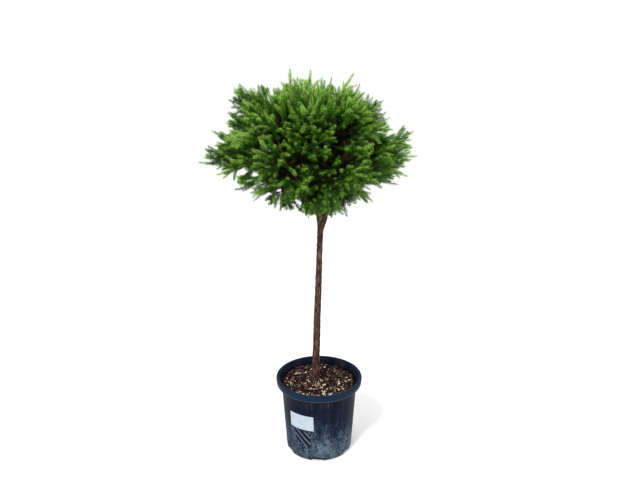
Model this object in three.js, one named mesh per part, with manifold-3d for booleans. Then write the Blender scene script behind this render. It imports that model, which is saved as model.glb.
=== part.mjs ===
// Globe cedar on a clear stem, growing in a round nursery pot.
// Millimetres, z up. The pot stands on z = 0, centred on the z axis, and its front looks along -y.

import * as THREE from 'three';
import { mergeVertices } from 'three/addons/utils/BufferGeometryUtils.js';
import Module from 'manifold-3d';

const wasm = await Module();
wasm.setup();

const GAP = 0.3; // air left between pieces that touch
const LEAST_EDGE = 0.006; // finer details than these two are not kept
const LEAST_WIDTH = 0.0015;

// Pot
const POT_SIDES = 40;
const POT_HEIGHT = 237;
const POT_WALL = 2;
const BASE_RADIUS = 92; // flat disc that the pot stands on
const HEEL_RADIUS = 100; // wall just above the rounded bottom corner
const HEEL_HEIGHT = 9;
const NECK_RADIUS = 113.5; // wall just under the rim's band
const NECK_HEIGHT = 212;
const RIM_RADIUS = 130;
const BAND_HEIGHT = 20; // outer band that hangs from the rim, hollow behind
const BAND_WALL = 2.4;
const LIP_WIDTH = 10; // top of the rim, from its outer edge to the mouth

// Drainage notches in the pot's bottom corner
const NOTCH_COUNT = 6;
const NOTCH_TURN = -3.7; // degrees from the front
const NOTCH_WIDTH = 33;
const NOTCH_HEIGHT = 7;
const NOTCH_DEPTH = 24;

// Sticker on the pot's wall
const LABEL_WIDTH = 80;
const LABEL_HEIGHT = 50;
const LABEL_FOOT = 108;
const LABEL_TURN = -29.5;
const LABEL_THICKNESS = 0.5;
const LABEL_STEPS = 8;

// Composted bark in the pot
const SOIL_TOP = 218;
const SOIL_BUMP = 3.2; // half the height of its lumps
const SOIL_COLLAR = 33; // level patch round the trunk
const SOIL_RINGS = 6;

// Trunk, from the flat cut at soil level, through the graft, to the tip inside the crown:
// height, shift to the right, and radius
const TRUNK_SIDES = 12;
const TRUNK_STATIONS = [
  { height: SOIL_TOP + GAP, shift: -11, radius: 17 },
  { height: 229, shift: -10.8, radius: 14 },
  { height: 248, shift: -10, radius: 11.8 },
  { height: 300, shift: -8.6, radius: 10.8 },
  { height: 380, shift: -6.6, radius: 10.3 },
  { height: 460, shift: -4.6, radius: 9.8 },
  { height: 540, shift: -1.2, radius: 9.2 },
  { height: 620, shift: 1, radius: 8.3 },
  { height: 688, shift: 3.4, radius: 7.9 },
  { height: 708, shift: 5.6, radius: 9.6 },
  { height: 728, shift: 8, radius: 14.2 },
  { height: 750, shift: 9.2, radius: 17.6 },
  { height: 772, shift: 8.4, radius: 16.6 },
  { height: 800, shift: 5, radius: 14.4 },
  { height: 840, shift: -1, radius: 11.4 },
  { height: 885, shift: -8, radius: 7.6 },
  { height: 940, shift: -12, radius: 4.6 },
];
const FLARE_LOBES = 4;
const FLARE_DEPTH = 0.16; // of the radius
const FLARE_TOP = 250; // the lobes have died out here

// Crown: everything in it radiates from its heart, and its outline is a wide brim under a boxy cap.
// Each lobe is a rounded body about an upright axis, reaching less far on its right than on its left.
const HEART = new THREE.Vector3(-12, 0, 900);
const BRIM = {
  axis: -16, level: 923, left: 288, right: 264, rise: 120, drop: 176,
  powerLeft: 3, powerRight: 3, powerDown: 1.6,
};
const CAP = {
  axis: -28, level: 938, left: 219, right: 216, rise: 173, drop: 72,
  powerLeft: 7, powerRight: 3.7, powerDown: 2,
};
const FARTHEST = 340; // no tip lies further from the heart

// Masses of foliage, ring by ring, each fed by its own bough from the trunk.
// The hub of a mass is given as a share of the way from the heart to the outline.
const RINGS = [
  { name: 'skirt', count: 6, elevation: -38, turn: 30, hub: 0.6, whorl: 772, boughRadius: 5.4 },
  { name: 'waist', count: 6, elevation: 2, turn: 0, hub: 0.5, whorl: 802, boughRadius: 6.4 },
  { name: 'shoulder', count: 7, elevation: 40, turn: 12, hub: 0.5, whorl: 838, boughRadius: 5 },
  { name: 'top', count: 1, elevation: 90, turn: 0, hub: 0.5 },
];
const WHORL_STEP = 5; // neighbours in a whorl leave the trunk at different heights
const BOUGH_SIDES = 5;
const BOUGH_STEPS = 4;
const BOUGH_TIP_RADIUS = 3.6;
const BOUGH_BEND = 0.36; // where it bends up, as a share of the way to its mass's hub
const BOUGH_SAG = 7; // how far a bough bows down at its middle
const CORE_LARGEST = 58;
const CORE_CLEARANCE = 1.5;
const CORE_HOLLOWS = 0.68; // how far its hollows stand out, as a share of its radius
const CORE_POINTS = 0.35; // share of its corners that stand out in full
const CORE_SEED = 500;
const STEM_RADIUS = 3.4;
const STEM_LENGTH = 12;

// The crown is thin low on its left side
const THIN_TURN = 195;
const THIN_ELEVATION = -24;
const THIN_SPREAD = 42;
const THIN_CORE = 0.45;

// Shoots: ropes of short needles, drawn as tiers of forward-pointing teeth
const LEADERS_TRIED = 90;
const LEADER_REACH = 300; // where the outline is as far as this, no leader is left out
const TIP_LEAST = 0.9; // share of the way to the outline
const TIP_MOST = 1.03;
const ROOT_DEPTH = 0.5; // where leaders begin, as a share of the core's radius
const PULL_STEP = 0.12; // how far a leader turns towards the middle of its mass at each try
const PULL_MOST = 0.5;
const ROPE_RADIUS = 5; // between the teeth
const TOOTH_RADIUS = 11;
const TOOTH_PITCH = 42;
const TOOTH_RISE = 0.75; // how far up its tier a tooth ends
const TOOTH_FADE = 0.75; // how much narrower the last teeth are
const SIDE_SHOOTS = 2;
const SIDE_TRIES = 4;
const SIDE_TURN = 80; // from one try to the next
const SIDE_START = 0.4; // first side shoot, as a share of its leader's length
const SIDE_STEP = 0.17;
const SIDE_ANGLE = 46;
const SIDE_ANGLE_SPREAD = 12;
const SIDE_LEAST = 0.8; // shares of what is left of the leader
const SIDE_MOST = 1.05;
const SHORTEST = 34;
const GOLDEN_TURN = 137.5;
const DRIFT = 0.1; // how far a shoot bows aside, as a share of its length
const ROLL_TRIES = 4;
const ROLL_RANGE = 1.7;

// Shoots that stand out past the outline
const STRAGGLERS = [
  { turn: 180, elevation: 2, stretch: 1.05 },
  { turn: -2, elevation: 3, stretch: 1.09 },
  { turn: 4, elevation: 16, stretch: 1.08 },
  { turn: -8, elevation: -8, stretch: 1.1 },
  { turn: 123, elevation: 62, stretch: 1.13 },
  { turn: 100, elevation: 76, stretch: 1.14 },
  { turn: 44, elevation: 56, stretch: 1.12 },
  { turn: -36, elevation: -52, stretch: 1.1 },
  { turn: 262, elevation: -14, stretch: 1.05 },
];

// Materials
const POT_PLASTIC = new THREE.MeshStandardMaterial({ color: 0x232a3a, roughness: 0.5, metalness: 0 });
const PAPER = new THREE.MeshStandardMaterial({ color: 0xdfe8f2, roughness: 0.6, metalness: 0 });
const COMPOST = new THREE.MeshStandardMaterial({ color: 0x3a2a22, roughness: 0.95, metalness: 0 });
const BARK = new THREE.MeshStandardMaterial({ color: 0x5a4038, roughness: 0.9, metalness: 0 });
const FOLIAGE = new THREE.MeshStandardMaterial({ color: 0x3f7a22, roughness: 0.7, metalness: 0 });

const radians = THREE.MathUtils.degToRad;
const mix = THREE.MathUtils.lerp;

// A fixed stream of numbers from 0 to 1, the same each time for the same seed.
function seeded(seed) {
  let state = seed;
  return () => {
    state = (state * 48271) % 2147483647;
    return state / 2147483647;
  };
}

// A direction from its turn about the z axis and its elevation, in degrees.
function heading(turn, elevation) {
  const level = Math.cos(radians(elevation));
  return new THREE.Vector3(
    level * Math.cos(radians(turn)), level * Math.sin(radians(turn)), Math.sin(radians(elevation)),
  );
}

// A geometry whose faces share their corners.
function merged(geometry, tolerance = 1e-3) {
  geometry.deleteAttribute('normal');
  geometry.deleteAttribute('uv');
  return mergeVertices(geometry, tolerance);
}

// A closed solid from a geometry.
function solidOf(geometry) {
  const shared = merged(geometry);
  return new wasm.Manifold(new wasm.Mesh({
    numProp: 3,
    vertProperties: new Float32Array(shared.attributes.position.array),
    triVerts: new Uint32Array(shared.index.array),
  }));
}

// The largest closed body of a solid: loose scraps go, and sealed hollows are filled.
function wholeBody(solid) {
  const bodies = solid.decompose();
  return bodies.reduce((best, body) => (body.volume() > best.volume() ? body : best));
}

function geometryOf(solid) {
  const mesh = solid.getMesh();
  const geometry = new THREE.BufferGeometry();
  geometry.setAttribute('position', new THREE.BufferAttribute(new Float32Array(mesh.vertProperties), 3));
  geometry.setIndex(new THREE.BufferAttribute(new Uint32Array(mesh.triVerts), 1));
  geometry.computeVertexNormals();
  return geometry;
}

// Whether two corners of a geometry lie closer together than is kept apart.
function hasCloseCorners(corners) {
  const points = Array.from({ length: corners.count }, (_, i) => new THREE.Vector3().fromBufferAttribute(corners, i));
  points.sort((a, b) => a.x - b.x);
  return points.some((point, i) => {
    for (let k = i + 1; k < points.length && points[k].x - point.x < LEAST_EDGE; k += 1) {
      if (point.distanceTo(points[k]) < LEAST_EDGE) {
        return true;
      }
    }
    return false;
  });
}

// Whether a solid has corners too close together, a face too narrow,
// or two faces that run the same way along one edge.
function isTooFine(solid) {
  const geometry = geometryOf(solid);
  const corners = geometry.attributes.position;
  if (hasCloseCorners(corners)) {
    return true;
  }
  const face = new THREE.Triangle();
  const edges = new Set();
  for (let i = 0; i < geometry.index.count; i += 3) {
    const [a, b, c] = geometry.index.array.slice(i, i + 3);
    face.setFromAttributeAndIndices(corners, a, b, c);
    const longest = Math.max(face.a.distanceTo(face.b), face.b.distanceTo(face.c), face.c.distanceTo(face.a));
    if ((2 * face.getArea()) / longest < LEAST_WIDTH) {
      return true;
    }
    [[a, b], [b, c], [c, a]].forEach(([from, to]) => edges.add(from * corners.count + to));
  }
  return edges.size < geometry.index.count;
}

function namedMesh(name, geometry, material) {
  const mesh = new THREE.Mesh(geometry, material);
  mesh.name = name;
  return mesh;
}

// A solid of revolution about the z axis, its first corner at the front.
function turned(profile) {
  const points = profile.map(([radius, height]) => new THREE.Vector2(radius, height));
  return new THREE.LatheGeometry(points, POT_SIDES).rotateX(Math.PI / 2);
}

// Evenly spaced places along a curve, as shares of its length.
function evenly(steps) {
  return Array.from({ length: steps + 1 }, (_, k) => k / steps);
}

// The cross-sections of a gently bent body at the given places of its curve.
function sections(curve, places) {
  const across = new THREE.Vector3();
  return places.map((place, k) => {
    const tangent = curve.getTangent(place);
    if (k === 0) {
      across.set(-tangent.y, tangent.x, 0.3).normalize();
    }
    const side = new THREE.Vector3().crossVectors(tangent, across).normalize();
    return { centre: curve.getPoint(place), side, up: new THREE.Vector3().crossVectors(tangent, side) };
  });
}

// Carries an upright unit cylinder or cone onto cross-sections: ring k gets radii[k] and turns by twistAt(k).
function bendOnto(rings, geometry, radii, { twistAt = () => 0, swellAt = () => 1 } = {}) {
  const position = geometry.attributes.position;
  const point = new THREE.Vector3();
  for (let i = 0; i < position.count; i += 1) {
    point.fromBufferAttribute(position, i);
    const ring = Math.round((point.y + 0.5) * (radii.length - 1));
    const onAxis = Math.hypot(point.x, point.z) < 1e-6;
    const angle = Math.atan2(point.x, point.z) + twistAt(ring);
    const radius = onAxis ? 0 : radii[ring] * swellAt(ring, angle);
    const { centre, side, up } = rings[ring];
    point.copy(centre).addScaledVector(up, radius * Math.sin(angle));
    point.addScaledVector(side, radius * Math.cos(angle));
    position.setXYZ(i, point.x, point.y, point.z);
  }
  return geometry;
}

function limbGeometry(rings, radii, sides, options) {
  const body = new THREE.CylinderGeometry(1, 1, 1, sides, radii.length - 1);
  return bendOnto(rings, body, radii, options);
}

// Pot

function potWallRadius(height) {
  return mix(HEEL_RADIUS, NECK_RADIUS, (height - HEEL_HEIGHT) / (NECK_HEIGHT - HEEL_HEIGHT));
}

function potProfile() {
  const mouth = RIM_RADIUS - LIP_WIDTH;
  const bandFoot = POT_HEIGHT - BAND_HEIGHT;
  return [
    [0, 0],
    [BASE_RADIUS, 0],
    [BASE_RADIUS + 5.5, 3],
    [HEEL_RADIUS, HEEL_HEIGHT],
    [NECK_RADIUS, NECK_HEIGHT],
    [mouth - 1.2, POT_HEIGHT - 7],
    [mouth + 1.5, POT_HEIGHT - 3.2],
    [RIM_RADIUS - BAND_WALL - 0.8, POT_HEIGHT - 3.2],
    [RIM_RADIUS - BAND_WALL - 2.2, bandFoot],
    [RIM_RADIUS - 1.6, bandFoot],
    [RIM_RADIUS, POT_HEIGHT - 4],
    [RIM_RADIUS - 2.4, POT_HEIGHT],
    [mouth + 2, POT_HEIGHT],
    [mouth, POT_HEIGHT - 2.2],
    [mouth - 3.4, POT_HEIGHT - 8],
    [NECK_RADIUS - POT_WALL, NECK_HEIGHT],
    [HEEL_RADIUS - POT_WALL, HEEL_HEIGHT],
    [BASE_RADIUS - 1, POT_WALL + 0.4],
    [0, POT_WALL + 0.4],
  ];
}

function makePot() {
  let pot = solidOf(turned(potProfile()));
  for (let k = 0; k < NOTCH_COUNT; k += 1) {
    const notch = new THREE.BoxGeometry(NOTCH_WIDTH, NOTCH_DEPTH, NOTCH_HEIGHT * 2);
    notch.translate(0, -HEEL_RADIUS, 0);
    notch.rotateZ(radians(NOTCH_TURN + (k * 360) / NOTCH_COUNT));
    pot = pot.subtract(solidOf(notch));
  }
  return namedMesh('pot', geometryOf(pot), POT_PLASTIC);
}

// A thin curved sheet that follows the pot's tapering wall.
function makeLabel() {
  const inner = potWallRadius(LABEL_FOOT) + GAP;
  const halfAngle = LABEL_WIDTH / inner / 2;
  const outline = [];
  for (let k = 0; k <= LABEL_STEPS; k += 1) {
    const angle = mix(-halfAngle, halfAngle, k / LABEL_STEPS);
    outline.push(new THREE.Vector2(Math.sin(angle), -Math.cos(angle)).multiplyScalar(inner + LABEL_THICKNESS));
  }
  for (let k = LABEL_STEPS; k >= 0; k -= 1) {
    const angle = mix(-halfAngle, halfAngle, k / LABEL_STEPS);
    outline.push(new THREE.Vector2(Math.sin(angle), -Math.cos(angle)).multiplyScalar(inner));
  }
  const sheet = new THREE.ExtrudeGeometry(new THREE.Shape(outline), { depth: LABEL_HEIGHT, bevelEnabled: false });
  const slope = (NECK_RADIUS - HEEL_RADIUS) / (NECK_HEIGHT - HEEL_HEIGHT);
  const position = sheet.attributes.position;
  for (let i = 0; i < position.count; i += 1) {
    const radius = Math.hypot(position.getX(i), position.getY(i));
    const stretch = (radius + position.getZ(i) * slope) / radius;
    position.setXYZ(i, position.getX(i) * stretch, position.getY(i) * stretch, position.getZ(i) + LABEL_FOOT);
  }
  sheet.rotateZ(radians(LABEL_TURN));
  return namedMesh('label', geometryOf(solidOf(sheet)), PAPER);
}

// Fills the pot to within the gap and has a lumpy top, level round the trunk.
function makeSoil() {
  const edge = mix(NECK_RADIUS - POT_WALL, RIM_RADIUS - LIP_WIDTH - 3.4, 0.3) - GAP;
  const floor = POT_WALL + 0.4 + GAP;
  const profile = [
    [0, floor],
    [BASE_RADIUS - 1 - GAP, floor],
    [HEEL_RADIUS - POT_WALL - GAP, HEEL_HEIGHT],
    [NECK_RADIUS - POT_WALL - GAP, NECK_HEIGHT],
  ];
  for (let k = 0; k < SOIL_RINGS; k += 1) {
    profile.push([mix(edge, SOIL_COLLAR, k / (SOIL_RINGS - 1)), SOIL_TOP]);
  }
  profile.push([0, SOIL_TOP]);
  const soil = merged(turned(profile));
  const position = soil.attributes.position;
  const lumps = seeded(211);
  for (let i = 0; i < position.count; i += 1) {
    const radius = Math.hypot(position.getX(i), position.getY(i));
    if (position.getZ(i) > SOIL_TOP - 1e-3 && radius > SOIL_COLLAR + 1 && radius < edge - 1) {
      position.setZ(i, SOIL_TOP + (lumps() * 2 - 1) * SOIL_BUMP);
    }
  }
  return namedMesh('soil', geometryOf(solidOf(soil)), COMPOST);
}

// Trunk

// Its cross-sections are all level, so that its foot is cut flat.
const trunkRings = TRUNK_STATIONS.map(({ height, shift }) => (
  { centre: new THREE.Vector3(shift, 0, height), side: new THREE.Vector3(1, 0, 0), up: new THREE.Vector3(0, 1, 0) }
));

// The trunk's middle and radius at a height, by the stations on either side of it.
function trunkAt(height) {
  const above = Math.max(1, TRUNK_STATIONS.findIndex((station) => station.height >= height));
  const low = TRUNK_STATIONS[above - 1];
  const high = TRUNK_STATIONS[above];
  const share = (height - low.height) / (high.height - low.height);
  return {
    centre: new THREE.Vector3(mix(low.shift, high.shift, share), 0, height),
    radius: mix(low.radius, high.radius, share),
  };
}

// The trunk's body, wider all round by the given margin.
function trunkGeometry(margin) {
  const radii = TRUNK_STATIONS.map(({ radius }) => radius + margin);
  const swellAt = (ring, angle) => {
    const fade = Math.max(0, (FLARE_TOP - TRUNK_STATIONS[ring].height) / (FLARE_TOP - SOIL_TOP));
    return 1 + FLARE_DEPTH * fade * Math.cos(FLARE_LOBES * angle);
  };
  return limbGeometry(trunkRings, radii, TRUNK_SIDES, { swellAt });
}

const trunkSolid = solidOf(trunkGeometry(0));
const trunkSpace = solidOf(trunkGeometry(GAP));

// Crown outline

// Below 1 inside the lobe, above 1 outside it.
function fullness(lobe, point) {
  const x = point.x - lobe.axis;
  const z = point.z - lobe.level;
  const span = Math.hypot(x, point.y);
  const right = span > 0 ? (1 + x / span) / 2 : 0.5;
  const sideward = span > 0 ? (point.y / span) ** 2 : 0;
  const half = mix(mix(lobe.left, lobe.right, right), (lobe.left + lobe.right) / 2, sideward);
  const power = z > 0 ? mix(lobe.powerLeft, lobe.powerRight, right) : lobe.powerDown;
  const height = z > 0 ? lobe.rise : lobe.drop;
  return (span / half) ** power + (Math.abs(z) / height) ** power;
}

function insideCrown(point) {
  return Math.min(fullness(BRIM, point), fullness(CAP, point)) < 1;
}

// How far the outline lies from the heart in a direction.
function reach(direction) {
  let near = 0;
  let far = FARTHEST;
  for (let k = 0; k < 20; k += 1) {
    const middle = (near + far) / 2;
    if (insideCrown(HEART.clone().addScaledVector(direction, middle))) {
      near = middle;
    } else {
      far = middle;
    }
  }
  return near;
}

// Masses: each owns the directions nearest to its own

const masses = RINGS.flatMap((ring) => Array.from({ length: ring.count }, (_, k) => {
  const direction = heading(ring.turn + (k * 360) / ring.count, ring.elevation);
  const hub = HEART.clone().addScaledVector(direction, reach(direction) * ring.hub);
  return { ring, k, direction, hub, name: ring.count > 1 ? `${ring.name}_${k + 1}` : ring.name };
}));

function isThin(direction) {
  return direction.angleTo(heading(THIN_TURN, THIN_ELEVATION)) < radians(THIN_SPREAD);
}

// How deep a point lies in the mass's own space, which ends halfway to each neighbour.
function depthInSpace(mass, point) {
  const offset = point.clone().sub(HEART);
  let depth = Infinity;
  for (const other of masses) {
    if (other !== mass) {
      const normal = mass.direction.clone().sub(other.direction).normalize();
      depth = Math.min(depth, offset.dot(normal));
    }
  }
  return depth;
}

// Limbs: the trunk and every bough, as curves with radii that later pieces keep clear of

function limbPoints(curve, radii) {
  return radii.map((radius, k) => ({ point: curve.getPoint(k / (radii.length - 1)), radius }));
}

// How far a point lies from the surface of the nearest limb.
function limbDistance(limbs, point) {
  const nearest = new THREE.Vector3();
  let distance = Infinity;
  for (const limb of limbs) {
    for (let k = 1; k < limb.length; k += 1) {
      new THREE.Line3(limb[k - 1].point, limb[k].point).closestPointToPoint(point, true, nearest);
      const radius = Math.max(limb[k - 1].radius, limb[k].radius);
      distance = Math.min(distance, nearest.distanceTo(point) - radius);
    }
  }
  return distance;
}

const trunkLimb = TRUNK_STATIONS.map(({ height, shift, radius }) => (
  { point: new THREE.Vector3(shift, 0, height), radius }
));

// A bough leaves the trunk in its whorl and bends up towards its mass's hub.
function layBough(mass) {
  const { ring, k, hub } = mass;
  const height = ring.whorl + WHORL_STEP * ((2 * k) % ring.count);
  const start = trunkAt(height).centre;
  const bend = start.clone().lerp(hub, BOUGH_BEND);
  bend.z -= BOUGH_SAG;
  const aim = hub.clone().sub(bend).normalize();
  const coreRadius = Math.min(CORE_LARGEST, depthInSpace(mass, hub) - CORE_CLEARANCE);
  const end = hub.clone().addScaledVector(aim, -coreRadius - STEM_LENGTH);
  const radii = evenly(BOUGH_STEPS).map((share) => mix(ring.boughRadius, BOUGH_TIP_RADIUS, share));
  return { curve: new THREE.QuadraticBezierCurve3(start, bend, end), radii, end, aim };
}

for (const mass of masses) {
  if (mass.ring.whorl) {
    mass.bough = layBough(mass);
  } else {
    const tip = trunkLimb[trunkLimb.length - 1].point;
    mass.bough = { end: tip, aim: new THREE.Vector3(0, 0, 1) };
  }
}

const boughed = masses.filter((mass) => mass.bough.curve);
const limbs = [trunkLimb, ...boughed.map((mass) => limbPoints(mass.bough.curve, mass.bough.radii))];

function makeBough(mass) {
  const { curve, radii } = mass.bough;
  const limb = solidOf(limbGeometry(sections(curve, evenly(BOUGH_STEPS)), radii, BOUGH_SIDES));
  return namedMesh(`bough_${mass.name}`, geometryOf(wholeBody(limb.subtract(trunkSpace))), BARK);
}

// Shoots

// A rope of needles along a curve: rings that are narrow and toothed by turns, to a point.
function shootSolid({ curve, length }, roll) {
  const tiers = Math.max(1, Math.round(length / TOOTH_PITCH));
  const radii = [];
  const places = [];
  for (let k = 0; k < tiers; k += 1) {
    radii.push(ROPE_RADIUS, TOOTH_RADIUS * mix(1, TOOTH_FADE, k / tiers));
    places.push(k / tiers, (k + TOOTH_RISE) / tiers);
  }
  radii.push(0);
  places.push(1);
  const body = new THREE.ConeGeometry(1, 1, 3, radii.length - 1);
  const twistAt = (ring) => roll - (Math.ceil(ring / 2) * Math.PI) / 3;
  return solidOf(bendOnto(sections(curve, places), body, radii, { twistAt }));
}

// Whether a shoot keeps to its mass's space and to the outline, and off every limb.
function isClear(mass, shoot, stretch) {
  const girth = TOOTH_RADIUS + GAP;
  for (const place of evenly(6)) {
    const point = shoot.curve.getPoint(place);
    if (depthInSpace(mass, point) < girth || limbDistance(limbs, point) < girth) {
      return false;
    }
  }
  const tip = shoot.curve.getPoint(1).sub(HEART);
  const span = tip.length();
  return span <= reach(tip.normalize()) * stretch;
}

function layShoot(start, end, random) {
  const length = end.distanceTo(start);
  const middle = start.clone().lerp(end, 0.5);
  const drift = new THREE.Vector3(random() - 0.5, random() - 0.5, random() - 0.5);
  middle.addScaledVector(drift, 2 * DRIFT * length);
  return { curve: new THREE.QuadraticBezierCurve3(start, middle, end), length, roll: random() * Math.PI };
}

// A leader from a mass's core to the outline. One that would not be clear turns in towards the mass's middle.
function layLeader(mass, direction, stretch, random) {
  for (let pull = 0; pull < PULL_MOST; pull += PULL_STEP) {
    const aim = direction.clone().lerp(mass.direction, pull).normalize();
    const tip = HEART.clone().addScaledVector(aim, reach(aim) * stretch);
    const root = mass.hub.clone().lerp(tip, (ROOT_DEPTH * mass.core) / tip.distanceTo(mass.hub));
    const leader = layShoot(root, tip, random);
    if (leader.length > SHORTEST && isClear(mass, leader, stretch + 0.01)) {
      return leader;
    }
  }
  return null;
}

// A side shoot leaves its leader at the given place, leans forward, and turns round it to find room.
function laySideShoot(mass, leader, place, firstTurn, random) {
  const along = leader.curve.getTangent(place);
  const { centre, side, up } = sections(leader.curve, [place])[0];
  for (let tries = 0; tries < SIDE_TRIES; tries += 1) {
    const turn = radians(firstTurn + tries * SIDE_TURN);
    const lean = radians(SIDE_ANGLE + SIDE_ANGLE_SPREAD * (random() - 0.5));
    const aim = along.clone().multiplyScalar(Math.cos(lean));
    aim.addScaledVector(side, Math.cos(turn) * Math.sin(lean)).addScaledVector(up, Math.sin(turn) * Math.sin(lean));
    const length = leader.length * (1 - place) * mix(SIDE_LEAST, SIDE_MOST, random());
    const shoot = layShoot(centre, centre.clone().addScaledVector(aim, length), random);
    if (length > SHORTEST && isClear(mass, shoot, TIP_MOST)) {
      return shoot;
    }
  }
  return null;
}

// Side shoots start at turns of the golden angle, one above the other.
function sideShoots(mass, leader, random) {
  const firstTurn = 360 * random();
  const places = Array.from({ length: SIDE_SHOOTS }, (_, k) => SIDE_START + SIDE_STEP * (k + 0.3 * random()));
  const shoots = places.map((place, k) => laySideShoot(mass, leader, place, firstTurn + k * GOLDEN_TURN, random));
  return shoots.filter((shoot) => shoot);
}

// The directions of all the leaders: one in the middle of each mass, others dealt out in a golden spiral
// with fewer where the outline is near, and the stragglers.
function leaderPlans() {
  const chance = seeded(977);
  const plans = masses.map(({ direction }, i) => (
    { direction, stretch: mix(TIP_LEAST, TIP_MOST, chance()), seed: 2000 + i }
  ));
  for (let i = 0; i < LEADERS_TRIED; i += 1) {
    const elevation = THREE.MathUtils.radToDeg(Math.asin(1 - (2 * i + 1) / LEADERS_TRIED));
    const direction = heading(i * GOLDEN_TURN, elevation);
    if (chance() * LEADER_REACH < reach(direction)) {
      plans.push({ direction, stretch: mix(TIP_LEAST, TIP_MOST, chance()), seed: 1000 + i });
    }
  }
  STRAGGLERS.forEach(({ turn, elevation, stretch }, i) => {
    plans.push({ direction: heading(turn, elevation), stretch, seed: 3000 + i });
  });
  return plans;
}

// The mass whose own direction is nearest.
function ownerOf(direction) {
  return masses.reduce((best, mass) => (
    mass.direction.dot(direction) > best.direction.dot(direction) ? mass : best
  ));
}

for (const mass of masses) {
  const room = Math.min(depthInSpace(mass, mass.hub), limbDistance(limbs, mass.hub)) - CORE_CLEARANCE;
  mass.core = Math.min(CORE_LARGEST, room) * (isThin(mass.direction) ? THIN_CORE : 1);
  mass.shoots = [];
}

for (const { direction, stretch, seed } of leaderPlans()) {
  const mass = ownerOf(direction);
  const random = seeded(seed);
  const leader = layLeader(mass, direction, stretch, random);
  if (leader) {
    mass.shoots.push(leader, ...sideShoots(mass, leader, random));
  }
}

// The packed twigs at the middle of a mass: a ball with blunt points that reach the core's radius.
function coreSolid(mass) {
  const ball = merged(new THREE.IcosahedronGeometry(1, 1));
  const chance = seeded(CORE_SEED + masses.indexOf(mass));
  const position = ball.attributes.position;
  const point = new THREE.Vector3();
  for (let i = 0; i < position.count; i += 1) {
    const share = chance() < CORE_POINTS ? 1 : mix(CORE_HOLLOWS, 0.8, chance());
    point.fromBufferAttribute(position, i).multiplyScalar(mass.core * share);
    position.setXYZ(i, ...point.add(mass.hub));
  }
  return solidOf(ball);
}

// Stem, core and shoots of one mass, fused. Each part is rolled about its length until it joins cleanly.
function makeMass(mass) {
  const foot = mass.bough.end.clone().addScaledVector(mass.bough.aim, GAP);
  const stemRings = sections(new THREE.LineCurve3(foot, mass.hub), [0, 1]);
  const stemSolid = (roll) => (
    solidOf(limbGeometry(stemRings, [STEM_RADIUS, STEM_RADIUS], BOUGH_SIDES, { twistAt: () => roll }))
  );
  const parts = [stemSolid, ...mass.shoots.map((shoot) => (roll) => shootSolid(shoot, shoot.roll + roll))];
  let body = coreSolid(mass);
  for (const part of parts) {
    const joined = evenly(ROLL_TRIES).map((share) => body.add(part(share * ROLL_RANGE)));
    body = joined.find((solid) => !isTooFine(solid)) ?? body;
  }
  return namedMesh(`foliage_${mass.name}`, geometryOf(wholeBody(body)), FOLIAGE);
}

const tree = new THREE.Group();
tree.add(makePot());
tree.add(makeLabel());
tree.add(makeSoil());
tree.add(namedMesh('trunk', geometryOf(trunkSolid), BARK));
for (const mass of boughed) {
  tree.add(makeBough(mass));
}
for (const mass of masses) {
  tree.add(makeMass(mass));
}

export default tree;
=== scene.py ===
"""Dressed model of a globe cedar standard in its nursery pot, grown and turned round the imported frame.

Lengths are worked out in millimetres, as in the part's own source. Meshes are made in metres, and the
sizes that a finish holds are in metres too.
"""

import logging
import math
from dataclasses import dataclass, field
from enum import Enum, IntEnum
from typing import Callable, Iterable, Iterator, Optional, Sequence, Union

import bpy
import numpy as np
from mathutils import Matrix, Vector, noise


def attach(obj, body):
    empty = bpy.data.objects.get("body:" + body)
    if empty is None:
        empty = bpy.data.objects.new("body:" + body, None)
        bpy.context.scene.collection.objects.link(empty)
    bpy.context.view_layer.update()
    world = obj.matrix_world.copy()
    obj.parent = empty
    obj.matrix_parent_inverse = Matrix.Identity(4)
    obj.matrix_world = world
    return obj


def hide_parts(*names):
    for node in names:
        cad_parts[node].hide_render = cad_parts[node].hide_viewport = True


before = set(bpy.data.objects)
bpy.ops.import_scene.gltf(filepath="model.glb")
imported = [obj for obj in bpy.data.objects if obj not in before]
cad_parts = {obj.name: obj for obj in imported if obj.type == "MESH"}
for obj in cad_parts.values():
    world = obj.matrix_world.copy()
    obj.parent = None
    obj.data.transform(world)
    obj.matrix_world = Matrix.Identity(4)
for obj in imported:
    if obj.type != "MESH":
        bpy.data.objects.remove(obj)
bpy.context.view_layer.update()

ROOT = "root"
MM = 0.001
GOLDEN_TURN = 137.5
LOG = logging.getLogger("globe_cedar")

Pair = tuple[float, float]
Trio = tuple[float, float, float]
Body = tuple[np.ndarray, np.ndarray]
Number = Union[float, "Field"]


# Shader maths


def maths(operation: str, *values: Number) -> "Field":
    """Adds one Math node.

    Args:
        operation: Its operation.
        *values: Its values, one of them a field at least.

    Returns:
        Its result.
    """
    finish = next(value.finish for value in values if isinstance(value, Field))
    made = finish.node("ShaderNodeMath", {"operation": operation}, dict(enumerate(values)))
    return Field(finish, made.outputs[0])


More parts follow.
